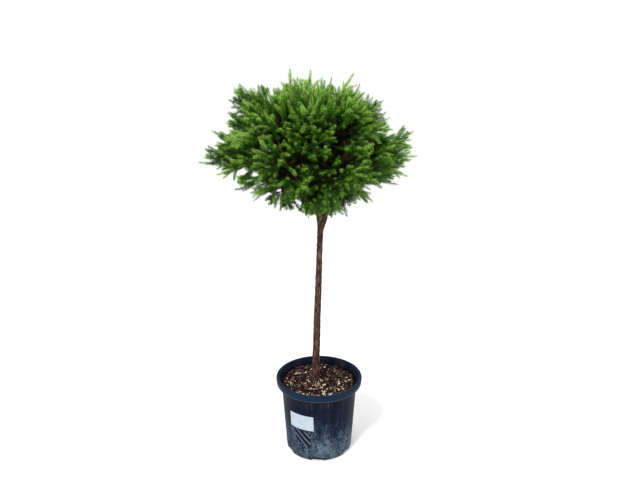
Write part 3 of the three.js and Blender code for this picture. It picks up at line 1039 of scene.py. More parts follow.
    def reach(self, direction: np.ndarray) -> float:
        """Finds how far the outline lies from the heart.

        Args:
            direction: The direction from the heart.

        Returns:
            The distance, in millimetres.
        """
        hx, hy, hz = self.heart
        dx, dy, dz = (float(value) for value in direction)
        near, far = 0.0, self.farthest
        for _ in range(self.reach_halvings):
            half = (near + far) / 2
            spot = (hx + dx * half, hy + dy * half, hz + dz * half)
            if min(self.brim.fullness(*spot), self.cap.fullness(*spot)) < 1:
                near = half
            else:
                far = half
        return near

    def is_open(self, shoot: Shoot) -> bool:
        """Tells whether a shoot would cross a line of sight on which the sky shows through the crown.

        Args:
            shoot: The shoot.

        Returns:
            True if it would.
        """
        eye = np.array(self.eye)
        offsets = shoot.sampled()[1:] - eye
        sights = np.array([(x, 0.0, z) for x, z in self.chinks]) - eye
        sights /= np.linalg.norm(sights, axis=1)[:, None]
        along = offsets @ sights.T
        gaps = (offsets**2).sum(1)[:, None] - along**2
        return float(gaps.min()) < self.chink_width**2

    def clump(self, mass: Mass, direction: np.ndarray) -> float:
        """How far the outline sinks between one mass's middle and the next's, as a share of the reach."""
        apart = math.degrees(angle_between(direction, mass.direction))
        return self.clump_depth * min(1.0, apart / self.clump_spread) ** 2

    def depth(self, mass: Mass, points: np.ndarray) -> float:
        """How deep the outermost of some points lies in the mass's own space."""
        return float(((points - self.heart) @ mass.planes.T).min())

    def limb_distance(self, points: np.ndarray) -> float:
        """Finds how far the nearest of some points lies from the surface of a limb.

        Args:
            points: The points.

        Returns:
            The distance, below 0 inside a limb.
        """
        offset = points[:, None] - self.limb_starts
        share = np.clip((offset * self.limb_spans).sum(-1) / self.limb_squares, 0, 1)
        gap = np.linalg.norm(offset - share[..., None] * self.limb_spans, axis=-1)
        return float((gap - self.limb_radii).min())

    def _lay_bough(self, mass: Mass) -> None:
        """Bends a bough from its whorl to its mass's hub, or takes the trunk's tip where there is none.

        Args:
            mass: The mass.
        """
        if not mass.ring.whorl:
            mass.foot = trunk_centre(TRUNK_HEIGHTS[-1])
            return
        start = trunk_centre(mass.ring.whorl + self.whorl_step * ((2 * mass.order) % mass.ring.count))
        bend = start + (mass.hub - start) * self.bough_bend
        bend[2] -= self.bough_sag
        aim = unit(mass.hub - bend)
        core = min(self.core_largest, self.depth(mass, mass.hub[None]) - self.core_clearance)
        mass.foot = mass.hub - aim * (core + self.stem_length)
        mass.bough = Shoot(start, bend, mass.foot, float(np.linalg.norm(mass.foot - start)), 0.0)

    def _gather_limbs(self) -> None:
        """Gathers the trunk and the boughs as straight stretches with a radius each."""
        chains = [[(np.array((shift, 0.0, height)), radius) for height, shift, radius in TRUNK_STATIONS]]
        places = [k / self.bough_steps for k in range(self.bough_steps + 1)]
        for mass in self.masses:
            if mass.bough:
                radii = [mix(mass.ring.bough_radius, self.bough_tip_radius, place) for place in places]
                chains.append(list(zip(map(mass.bough.point, places), radii)))
        stretches = [ends for chain in chains for ends in zip(chain, chain[1:])]
        self.limb_starts = np.array([first[0] for first, _ in stretches])
        self.limb_spans = np.array([second[0] for _, second in stretches]) - self.limb_starts
        self.limb_squares = (self.limb_spans**2).sum(-1)
        self.limb_radii = np.array([max(first[1], second[1]) for first, second in stretches])

    def lay_shoot(self, start: np.ndarray, end: np.ndarray, random: Stream) -> Shoot:
        """Lays a shoot that bows a little aside.

        Args:
            start: Where it begins.
            end: Where it ends.
            random: The stream that it draws from.

        Returns:
            The shoot.
        """
        length = float(np.linalg.norm(end - start))
        middle = (start + end) / 2 + random.scatter() * 2 * self.drift * length
        return Shoot(start, middle, end, length, random() * math.pi)

    def is_clear(self, mass: Mass, shoot: Shoot, stretch: float, grade: Grade) -> bool:
        """Tells whether a shoot keeps to its mass's space and to the outline, and off every limb.

        Args:
            mass: The mass that it belongs to.
            shoot: The shoot.
            stretch: How far past the outline its tip may stand.
            grade: How stout it is.

        Returns:
            True if it does.
        """
        points = shoot.sampled()
        if self.depth(mass, points) < grade.room or self.limb_distance(points) < grade.room:
            return False
        tip = shoot.end - self.heart
        span = float(np.linalg.norm(tip))
        return span <= self.reach(tip / span) * stretch

    def lay_leader(
        self, mass: Mass, direction: np.ndarray, stretch: float, random: Stream
    ) -> Optional[Shoot]:
        """Lays a leader from a mass's core to the outline, turned in towards the mass to find room.

        Args:
            mass: The mass.
            direction: Where its tip lies from the heart.
            stretch: How far out it lies, as a share of the outline.
            random: The stream that it draws from.

        Returns:
            The leader, or None.
        """
        pull = 0.0
        while pull < self.pull_most:
            aim = unit(direction + (mass.direction - direction) * pull)
            tip = self.heart + aim * self.reach(aim) * stretch
            out = tip - mass.hub
            root = mass.hub + out * (self.root_depth * mass.core / float(np.linalg.norm(out)))
            leader = self.lay_shoot(root, tip, random)
            is_long = leader.length > Grade.ROPE.shortest
            if is_long and self.is_clear(mass, leader, stretch + self.tip_slack, Grade.ROPE):
                return leader
            pull += self.pull_step
        return None

    def lay_fine_leader(self, mass: Mass, direction: np.ndarray, stretch: float, random: Stream) -> Shoot:
        """Lays a leader that leaves its mass's core and bends round until it runs straight out.

        Args:
            mass: The mass.
            direction: Where its tip lies from the heart.
            stretch: How far out it lies, as a share of the outline.
            random: The stream that it draws from.

        Returns:
            The leader.
        """
        span = self.reach(direction) * stretch
        tip = self.heart + direction * span
        root = mass.hub + unit(tip - mass.hub) * self.root_depth * mass.core
        leader = self.lay_shoot(root, tip, random)
        bend = self.heart + direction * span * mix(*self.bend_range, random())
        leader.middle = (leader.middle + 2 * bend) / 3
        leader.middle[2] += span * (self.droop if direction[2] < self.hanging else -self.upturn)
        return leader

    def lay_side_shoot(
        self, mass: Mass, leader: Shoot, place: float, first_turn: float, random: Stream, grade: Grade
    ) -> Optional[Shoot]:
        """Lays a side shoot that leans forward from its leader and turns round it to find room.

        Args:
            mass: The mass.
            leader: What it grows from.
            place: Where on the leader, as a share of its length.
            first_turn: Degrees round the leader at the first try.
            random: The stream that it draws from.
            grade: How stout it is.

        Returns:
            The side shoot, or None.
        """
        along, centre = leader.tangent(place), leader.point(place)
        side, up = leader.frame(place)
        for tries in range(self.side_tries):
            turn = math.radians(first_turn + tries * self.side_turn)
            lean = math.radians(grade.lean + self.side_spread * (random() - 0.5))
            aim = along * math.cos(lean) + (side * math.cos(turn) + up * math.sin(turn)) * math.sin(lean)
            length = leader.length * (1 - place) * mix(*self.side_range, random())
            shoot = self.lay_shoot(centre, centre + aim * length, random)
            if length > grade.shortest and self.is_clear(mass, shoot, self.tip_range[1], grade):
                return shoot
        return None

    def plans(self) -> list[tuple[np.ndarray, float, int]]:
        """Plans every leader of the solids.

        Returns:
            The direction, stretch and seed of each.
        """
        chance = Stream(Seed.PLANS)
        made = [
            (mass.direction, mix(*self.tip_range, chance()), Seed.MASS_LEADERS + place)
            for place, mass in enumerate(self.masses)
        ]
        for place, elevation in spiral(self.leaders_tried):
            direction = heading(place * GOLDEN_TURN, elevation)
            if chance() * self.leader_reach < self.reach(direction):
                made.append((direction, mix(*self.tip_range, chance()), Seed.SPIRAL_LEADERS + place))
        for place, (turn, elevation, stretch) in enumerate(self.stragglers):
            made.append((heading(turn, elevation), stretch, Seed.STRAGGLERS + place))
        return made

    def owner(self, direction: np.ndarray) -> Mass:
        """The mass whose own direction is nearest."""
        return max(self.masses, key=lambda mass: float(mass.direction @ direction))

    def near_owner(self, direction: np.ndarray, chance: Stream) -> Mass:
        """The mass that a finer leader grows from: near a border it may be the next one."""
        return self.owner(direction + self.straying * chance.scatter())

    def add(
        self, mass: Mass, shoot: Shoot, tone: float, bare: float, girth: float, is_sure: bool = False
    ) -> None:
        """Keeps a shoot of a mass, unless the sky shows where it would be.

        Args:
            mass: The mass.
            shoot: The shoot.
            tone: Its tone at the tip.
            bare: The share of it that has no needles.
            girth: How long its needles are, as a share of the usual.
            is_sure: Whether it is kept in any case.
        """
        shoot.tone, shoot.bare, shoot.girth = tone, bare, girth
        if is_sure or not self.is_open(shoot):
            mass.shoots.append(shoot)

    def add_shaded(self, mass: Mass, shoot: Shoot, kind: Shaded, random: Stream) -> None:
        """Keeps an old shoot inside the crown, in a tone of its kind."""
        tones, bare, girth = kind.value
        self.add(mass, shoot, mix(*tones, random()), bare, girth)

    def grow(self) -> None:
        """Grows the shoots of the solids, and the finer ones between them."""
        for direction, stretch, seed in self.plans():
            mass, random = self.owner(direction), Stream(seed)
            leader = self.lay_leader(mass, direction, stretch, random)
            if leader:
                self._dress_leader(mass, leader, random, True)
        self._grow_fine()
        self._grow_deep()
        for mass in self.masses:
            self._fill_in(mass)
        self._clothe_trunk()

    def _grow_fine(self) -> None:
        """Grows finer leaders up to the outline, a few of them past it."""
        chance = Stream(Seed.FINE)
        for place, elevation in spiral(self.fine_leaders):
            direction = heading(place * GOLDEN_TURN + self.fine_turn * chance(), elevation)
            mass, random = self.near_owner(direction, chance), Stream(Seed.FINE_LEADERS + place)
            stretch = mix(*self.fine_range, chance()) - self.clump(mass, direction)
            if chance() < self.outlier_share:
                stretch += self.outlier_stretch * chance()
            leader = self.lay_fine_leader(mass, direction, stretch, random)
            self._dress_leader(mass, leader, random, False)

    def _grow_deep(self) -> None:
        """Grows shaded leaders that end inside the crown, between the others."""
        chance = Stream(Seed.DEEP)
        for place, elevation in spiral(self.deep_leaders):
            direction = heading(place * GOLDEN_TURN + self.deep_turn, elevation)
            mass, random = self.near_owner(direction, chance), Stream(Seed.DEEP_LEADERS + place)
            leader = self.lay_fine_leader(mass, direction, mix(*self.deep_range, chance()), random)
            self.add_shaded(mass, leader, Shaded.DEEP, chance)

    def _dress_leader(self, mass: Mass, leader: Shoot, random: Stream, is_main: bool) -> None:
        """Gives a leader its side shoots and both their tones.

        Args:
            mass: The mass.
            leader: The leader.
            random: The stream that it draws from.
            is_main: Whether it is one of the solids' own leaders.
        """
        first_turn = 360 * random()
        strays = [self.rope_stray * random() for _ in range(self.rope_sides if is_main else 0)]
        made = []
        for k, stray in enumerate(strays):
            spot, turn = self.rope_first + self.rope_step * (k + stray), first_turn + k * GOLDEN_TURN
            made.append(self.lay_side_shoot(mass, leader, spot, turn, random, Grade.ROPE))
        for k, place in enumerate(self.fine_sides if is_main else self.fine_sides[:-1], self.rope_sides):
            spot, turn = place + self.fine_stray * random(), first_turn + k * GOLDEN_TURN
            made.append(self.lay_side_shoot(mass, leader, spot, turn, random, Grade.FINE))
        tone = self.tone_at(leader.end) + self.tone_spread * (random() - 0.5)
        bare = mix(*self.bare_range, random()) if leader.length > self.short_leader else self.bare_short
        self.add(mass, leader, tone, bare, self.leader_girth, is_main)
        for shoot in made:
            if shoot:
                side_tone = tone + self.side_tone_spread * (random() - 0.5)
                self.add(mass, shoot, side_tone, self.side_bare, mix(*self.side_girths, random()))

    def tone_at(self, point: np.ndarray) -> float:
        """Finds the usual tone of a shoot that ends at a point: lighter outside, partly as fresher growth and
        partly as painted shade deeper in, and lighter on top as painted light.

        Args:
            point: The point.

        Returns:
            The tone.
        """
        offset = point - self.heart
        span = float(np.linalg.norm(offset))
        outness = span / self.reach(offset / span)
        level, width = self.outer_edge
        # Painted shade deeper in the crown, with fresher growth outside.
        outer = self.outer_freshness_and_shade * (outness - level) / width
        # Painted light: the top of the crown is dealt lighter tones.
        return self.usual_tone + outer + self.upper_light * offset[2] / self.upper_rise

    def _fill_in(self, mass: Mass) -> None:
        """Adds short old shoots round a mass's hub and along its bough, which close off the view inwards.

        Args:
            mass: The mass.
        """
        random = Stream(Seed.INNER_SHOOTS + self.masses.index(mass))
        is_low = mass.ring.is_low
        core = max(mass.core, self.inner_core_low if is_low else self.inner_core)
        for k, elevation in spiral(self.inner_shoots // 2 if is_low else self.inner_shoots):
            aim = unit(heading(k * GOLDEN_TURN, elevation) + self.inner_lean * mass.direction)
            end = mass.hub + aim * (mix(*self.inner_range, random()) * core)
            shoot = self.lay_shoot(mass.hub + aim * self.inner_root, end, random)
            tip = shoot.end[None]
            if self.depth(mass, tip) > -self.inner_overstep and self.limb_distance(tip) > self.limb_room:
                self.add_shaded(mass, shoot, Shaded.INNER, random)
        for k in range(self.bough_shoots if mass.bough else 0):
            start = mass.bough.point(mix(*self.bough_places, (k + random()) / self.bough_shoots))
            out = heading(360 * random(), mix(*self.bough_rises, random()))
            aim = unit(out + self.bough_lean * mass.direction)
            shoot = self.lay_shoot(start, start + aim * mix(*self.bough_range, random()), random)
            if self.limb_distance(shoot.end[None]) > self.limb_room:
                self.add_shaded(mass, shoot, Shaded.BOUGH, random)

    def _clothe_trunk(self) -> None:
        """Adds old shoots round the trunk inside the crown."""
        random = Stream(Seed.TRUNK_SHOOTS)
        for k in range(self.trunk_shoots):
            start = trunk_centre(mix(*self.trunk_levels, (k + random()) / self.trunk_shoots))
            aim = heading(k * GOLDEN_TURN, mix(*self.trunk_rises, random()))
            shoot = self.lay_shoot(start, start + aim * mix(*self.trunk_range, random()), random)
            self.add_shaded(self.owner(aim), shoot, Shaded.TRUNK, random)


# Sprays of needles and twigs


class Twig(IntEnum):
    """The material index of each kind of twig."""

    BROWN = 0
    GREEN = 1


@dataclass
class Foliage:
    """Needles and twigs of the whole crown, dressed on the shoots that its rule has grown."""

    crown: Crown
    needle_pitch: float = 0.9
    needle_reach: float = 7.8
    needle_width: float = 1.3
    needle_keel: float = 0.85
    needle_root: float = 1.2
    needle_belly: Pair = (0.66, 0.34)
    needle_tip: float = 0.86
    needle_sizes: Pair = (0.86, 1.12)
    least_size: float = 0.78
    swell: float = 0.22
    blunting: float = 0.5
    turn_spread: float = 0.12
    lift_spread: float = 0.45
    tip_lift: float = 1.5
    foot_shade: float = 1.6
    # Paler tips: partly fresh growth, partly a painted highlight.
    tip_freshness_and_highlight: float = 2.25
    tone_spread: float = 0.2
    # Painted light: needles facing the front are dealt lighter tones.
    front_light: float = 0.4
    tone_steps: float = 1.5
    needles_least: int = 18
    heap_full: int = 193500
    core_least: float = 34.0
    core_shape: Trio = (0.76, 0.26, 0.2)
    core_lumps: Pair = (3.2, 9.0)
    stem_sides: int = 8
    stem_steps: int = 4
    stem_taper: Pair = (0.3, -0.8)
    twig_sides: int = 5
    twig_radius: float = 0.9
    twig_slimness: float = 160.0
    twig_swell: Pair = (0.5, 0.6)
    twig_overlap: Pair = (0.04, 0.03)
    twig_end: float = 0.985
    twig_tip: float = 0.8
    bare_least: float = 0.2
    awl: tuple[tuple[int, int, int], ...] = ((0, 2, 1), (0, 1, 3), (0, 3, 2), (4, 1, 2), (4, 3, 1), (4, 2, 3))
    # Painted shade and highlight on each needle: its root faces darker, its tip faces lighter.
    awl_shade_and_highlight: tuple[float, ...] = (-0.6, -0.4, -0.4, 0.0, 0.15, 0.15)

    def build(self) -> None:
        """Makes the needles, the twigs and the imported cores, ring by ring."""
        skins = [tone.value.dressed() for tone in Tone]
        twig_skins = [
            TwigSkin("twig_brown", (0.020, 0.008, 0.006), (0.062, 0.024, 0.015)).dressed(),
            TwigSkin("twig_green", (0.012, 0.036, 0.004), (0.034, 0.085, 0.008)).dressed(),
        ]
        # Painted shade: the packed twigs at each mass's middle are given near-black colours for the shade
        # deep inside the crown.
        core_shade_stuff = GroundStuff("packed_twigs", (0.002, 0.003, 0.002), (0.010, 0.011, 0.005), 160.0, 0.004)
        core_shade_skin = core_shade_stuff.dressed()
        for ring in self.crown.rings:
            masses = [mass for mass in self.crown.masses if mass.ring is ring]
            nodes = [f"foliage_{mass.name}" for mass in masses]
            needles = self._needles(ring.name, masses)
            for place, heap in enumerate(needles):
                name = f"needles_{ring.name}_{place + 1}" if len(needles) > 1 else f"needles_{ring.name}"
                settle(heap.piece(name), skins, "foliage", *(nodes if place == 0 else ()))
            settle(self._twigs(masses).piece(f"twigs_{ring.name}"), twig_skins, "bark")
            settle(self._cores(masses).piece(f"packed_twigs_{ring.name}"), [core_shade_skin], "foliage")

    def _needles(self, name: str, masses: Sequence[Mass]) -> list[Heap]:
        """Dresses every shoot of some masses.

        Args:
            name: The ring's name, for the seed.
            masses: The masses.

        Returns:
            One heap, or more where one would hold too many faces.
        """
        random = np.random.default_rng(Seed.NEEDLES + sum(map(ord, name)))
        heaps = [Heap()]
        for mass in masses:
            for shoot in mass.shoots:
                if heaps[-1].faces > self.heap_full:
                    heaps.append(Heap())
                heaps[-1].add(*self._spray(shoot, random))
        return heaps

    def _spray(self, shoot: Shoot, random: np.random.Generator) -> tuple[np.ndarray, np.ndarray, np.ndarray]:
        """Makes the needles of one shoot: incurved awls of six faces with their roots sunk in the stem.

        Args:
            shoot: The shoot.
            random: The generator that it draws from.

        Returns:
            Corners, faces and the tone of each face.
        """
        count = max(self.needles_least, int(shoot.length * (1 - shoot.bare) / self.needle_pitch))
        share = (np.arange(count) + 0.5) / count
        along = (shoot.bare + (1 - shoot.bare) * share)[:, None]
        rest = 1 - along
        centre = rest**2 * shoot.start + 2 * rest * along * shoot.middle + along**2 * shoot.end
        tangent = rest * (shoot.middle - shoot.start) + along * (shoot.end - shoot.middle)
        tangent /= np.linalg.norm(tangent, axis=1)[:, None]
        side, up = shoot.frame(0.5)
        turn = shoot.roll + np.radians(GOLDEN_TURN) * np.arange(count)
        turn += random.normal(0, self.turn_spread, count)
        outward = np.cos(turn)[:, None] * side + np.sin(turn)[:, None] * up
        outward -= (outward * tangent).sum(1)[:, None] * tangent
        outward /= np.linalg.norm(outward, axis=1)[:, None]
        bulge = np.sin(np.pi * np.clip(share * 1.1, 0, 1))
        swell = self.least_size + self.swell * bulge - self.swell * share**10
        size = (shoot.girth * swell * random.uniform(*self.needle_sizes, count))[:, None]
        reach, (out, on) = self.needle_reach, self.needle_belly
        lift = random.normal(0, self.lift_spread, (count, 1))
        blunt = (1 - self.blunting * share**12)[:, None]
        root = centre - tangent * self.needle_root
        belly = centre + (outward * reach * out + tangent * (reach * on * blunt + lift)) * size
        tipward = tangent * (reach * blunt + self.tip_lift * lift)
        tip = centre + (outward * reach * self.needle_tip * blunt + tipward) * size
        width = np.cross(tangent, outward) * self.needle_width * size
        keel = outward * self.needle_keel * size
        points = np.stack((root, belly + width, belly - width, belly + keel, tip), axis=1).reshape(-1, 3)
        triangles = (np.array(self.awl)[None] + 5 * np.arange(count)[:, None, None]).reshape(-1, 3)
        # Painted shade towards the shoot's foot; the paler tip is partly fresh growth and partly a painted
        # highlight.
        tone = shoot.tone - self.foot_shade + self.foot_shade * share**0.8 + self.tip_freshness_and_highlight * share**8
        tone += random.normal(0, self.tone_spread, count)
        # Painted light: needles facing up or to the front are dealt lighter tones, those facing down or away
        # darker.
        tone += outward[:, 2] - self.front_light * outward[:, 1]
        # Painted shade and highlight on each needle's faces, then tones turned into colour slots.
        slots = np.round(self.tone_steps * (tone[:, None] + np.array(self.awl_shade_and_highlight)) - 0.5)
        return points, triangles, np.clip(slots, 0, len(Tone) - 1).astype(int).ravel()

    def _tube(self, shoot: Shoot, span: Pair, radii: Pair, sides: int, steps: int) -> Body:
        """Lays a closed tapering tube along part of a shoot.

        Args:
            shoot: The shoot.
            span: Where it begins and ends, as shares of the length.
            radii: Its radius at both ends.
            sides: Corners in a ring.
            steps: Stretches between rings.

        Returns:
            Corners and faces.
        """
        turns = np.arange(sides) * 2 * np.pi / sides
        side, up = shoot.frame(0.5)
        across = np.cos(turns)[:, None] * side + np.sin(turns)[:, None] * up
        shares = [k / steps for k in range(steps + 1)]
        rings = [shoot.point(mix(*span, share)) + mix(*radii, share) * across for share in shares]
        return lofted(rings, shoot.point(span[0]), shoot.point(span[1]))

    def _twigs(self, masses: Sequence[Mass]) -> Heap:
        """Lays the stems, bare twigs and green shoot stems of some masses.

        Args:
            masses: The masses.

        Returns:
            The heap.
        """
        heap, sides = Heap(), self.twig_sides
        (brown_swell, green_swell), (past, before) = self.twig_swell, self.twig_overlap
        for mass in masses:
            stem = Shoot(mass.foot, (mass.foot + mass.hub) / 2, mass.hub, 1.0, 0.0)
            radii = tuple(self.crown.stem_radius + more for more in self.stem_taper)
            heap.add(*self._tube(stem, (0.0, 1.0), radii, self.stem_sides, self.stem_steps), Twig.BROWN)
            for shoot in mass.shoots:
                thick = self.twig_radius + shoot.length / self.twig_slimness
                if shoot.bare > self.bare_least:
                    span, radii = (0.0, shoot.bare + past), (thick + brown_swell, thick)
                    heap.add(*self._tube(shoot, span, radii, sides, 3), Twig.BROWN)
                span = (max(0.0, shoot.bare - before), self.twig_end)
                radii = ((thick + green_swell) * shoot.girth, self.twig_tip)
                heap.add(*self._tube(shoot, span, radii, sides, 5), Twig.GREEN)
        return heap

    def _cores(self, masses: Sequence[Mass]) -> Heap:
        """Packs twigs at the middle of each mass, as a ragged near-black ball of painted shade smaller than
        the solid's core.

        Args:
            masses: The masses.

        Returns:
            The heap.
        """
        heap = Heap()
        (large, small), (middle, lumpy, grainy) = self.core_lumps, self.core_shape
        start_afresh()
        bpy.ops.mesh.primitive_ico_sphere_add(subdivisions=4, radius=1.0)
        ball = bpy.context.active_object.data
        directions = np.array([vertex.co[:] for vertex in ball.vertices])
        faces = np.array([face.vertices[:] for face in ball.polygons])
        bpy.ops.object.delete()
        for mass in masses:
            shift = 13.0 * self.crown.masses.index(mass)
            rough = np.array([noise.noise(Vector(d * large) + Vector((shift, 0, 0))) for d in directions])
            fine = np.array([noise.noise(Vector(d * small) + Vector((0, shift, 0))) for d in directions])
            core = mass.core if mass.ring.is_low else max(mass.core, self.core_least)
            radius = core * (middle + lumpy * rough + grainy * fine)
            heap.add(mass.hub + directions * radius[:, None], faces)
        return heap


# Trunk and boughs


@dataclass
class Limbs:
    """The trunk, from its cut foot through the graft to its tip, and the boughs that leave it in whorls."""

    crown: Crown
    sides: int = 20
    end_inset: float = 1.2
    flare_lobes: int = 4
    flare_depth: float = 0.16
    flare_top: float = 250.0
    graft_height: float = 752.0
    graft_spread: float = 26.0
    fibre_depth: float = 0.75
    flake_share: float = 0.55
    lump_depth: float = 0.5
    graft_depth: float = 2.0
    bough_sides: int = 10
    bough_steps: int = 18
    bough_flare: float = 0.25
    bough_fade: float = 9.0
    bough_grain: float = 0.14
    shreds: int = 240
    shred_steps: int = 4
    shred_thickness: float = 0.35
    shred_gap: float = 0.15
    shred_taper: float = 0.75
    shred_twist: float = 0.03
    shred_ranges: tuple[Pair, ...] = ((232, 770), (7, 26), (0, 2 * math.pi), (0.7, 1.9), (0.5, 2.2))
    strip: tuple[tuple[int, ...], ...] = ((0, 1, 5, 4), (1, 3, 7, 5), (3, 2, 6, 7), (2, 0, 4, 6))

    def build(self) -> None:
        """Makes the trunk, its shreds of bark and the boughs."""
        bark = CedarBark().dressed()
        settle(self._trunk(), [bark], "bark", "trunk")
        # Lighter bark for the lifted shreds, its first colour the painted shade in their clefts.
        lifted = CedarBark("bark_shreds", (0.014, 0.007, 0.006), (0.085, 0.044, 0.034), (0.22, 0.135, 0.105))
        settle(self._shreds().piece("bark_shreds"), [lifted.dressed()], "bark")
        nodes = [f"bough_{mass.name}" for mass in self.crown.masses if mass.bough]
        settle(self._boughs().piece("boughs"), [bark], "bark", *nodes)

    def _trunk(self) -> bpy.types.Object:
        """Draws the trunk ring by ring, insets its ends so that they stay flat, smooths it and barks it.

        Returns:
            The trunk.
        """
        piece = turned_form("trunk_bark", TRUNK_STATIONS, self.sides)
        pick_faces(piece, lambda face: len(face.vertices) > 4)
        bpy.ops.mesh.inset(thickness=self.end_inset * MM, depth=0.0)
        bpy.ops.object.mode_set(mode="OBJECT")
        apply_modifier(piece, "SUBSURF", levels=3, render_levels=3)
        self._raise_bark(piece)
        bpy.ops.object.shade_smooth()
        return piece

    def _raise_bark(self, piece: bpy.types.Object) -> None:
        """Moves each point out or in by long fibres, lumps at the graft and the lobes of the flare.

        Args:
            piece: The trunk.
        """
        for vertex in piece.data.vertices:
            x, y, z = (value / MM for value in vertex.co)
            offset_x = x - trunk_shift(z)
            span = math.hypot(offset_x, y)
            if span < 1.0:
                continue
            fibre = noise.noise(Vector((x * 0.30, y * 0.30, z * 0.022)))
            flake = noise.noise(Vector((x * 0.9 + 40, y * 0.9, z * 0.09)))
            lumps = noise.noise(Vector((x * 0.11, y * 0.11 + 9, z * 0.10)))
            graft = math.exp(-(((z - self.graft_height) / self.graft_spread) ** 2))
            fade = max(0.0, (self.flare_top - z) / (self.flare_top - TRUNK_HEIGHTS[0]))
            flare = self.flare_depth * fade * math.cos(self.flare_lobes * math.atan2(offset_x, y))
            grown = self.fibre_depth * (fibre + self.flake_share * flake)
            grown += (self.lump_depth + self.graft_depth * graft) * lumps
            share = 1 + grown / max(span, 4.0) + flare
            vertex.co.x = (x - offset_x + offset_x * share) * MM
            vertex.co.y = y * share * MM
        piece.data.update()

    def _shreds(self) -> Heap:
        """Cuts thin shreds of bark that lift from the trunk at one end.

        Returns:
            The heap.
        """
        random = np.random.default_rng(Seed.SHREDS)
        heap, faces, last = Heap(), [], 4 * self.shred_steps
        for a in range(0, last, 4):
            for p, q, r, s in self.strip:
                faces += [(a + p, a + r, a + q), (a + p, a + s, a + r)]
        faces += [(0, 1, 3), (0, 3, 2), (last, last + 3, last + 1), (last, last + 2, last + 3)]
        for _ in range(self.shreds):
            low, long, turn, wide, lift = (random.uniform(*limits) for limits in self.shred_ranges)
            rows = []
            for k in range(self.shred_steps + 1):
                share = k / self.shred_steps
                z = low + long * share
                radius = float(np.interp(z, TRUNK_HEIGHTS, TRUNK_RADII)) + self.shred_gap + lift * share**2.2
                half = wide * (1 - self.shred_taper * share**2) / radius
                for out in (radius, radius - self.shred_thickness):
                    for edge in (-half, half):
                        spot = turn + edge + self.shred_twist * share
                        rows.append((trunk_shift(z) + out * math.sin(spot), out * math.cos(spot), z))
            heap.add(np.array(rows), np.array(faces))
        return heap

    def _boughs(self) -> Heap:
        """Draws every bough as a tapering limb with the bark's fibres on it.

        Returns:
            The heap.
        """
        heap = Heap()
        turns = [2 * math.pi * j / self.bough_sides for j in range(self.bough_sides)]
        for mass in self.crown.masses:
            if not mass.bough:
                continue
            side, up = mass.bough.frame(0.5)
            rings = []
            for k in range(self.bough_steps + 1):
                place = k / self.bough_steps
                radius = mix(mass.ring.bough_radius, self.crown.bough_tip_radius, place)
                radius *= 1 + self.bough_flare * math.exp(-place * self.bough_fade)
                ring = []
                for j, turn in enumerate(turns):
                    out = side * math.cos(turn) + up * math.sin(turn)
                    grain = noise.noise(Vector((j * 1.7, place * 5, mass.order * 7.3)))
                    ring.append(mass.bough.point(place) + out * radius * (1 + self.bough_grain * grain))
                rings.append(np.array(ring))
            heap.add(*lofted(rings, mass.bough.point(0.0), mass.bough.point(1.0)))
        return heap


# Pot, sticker and compost


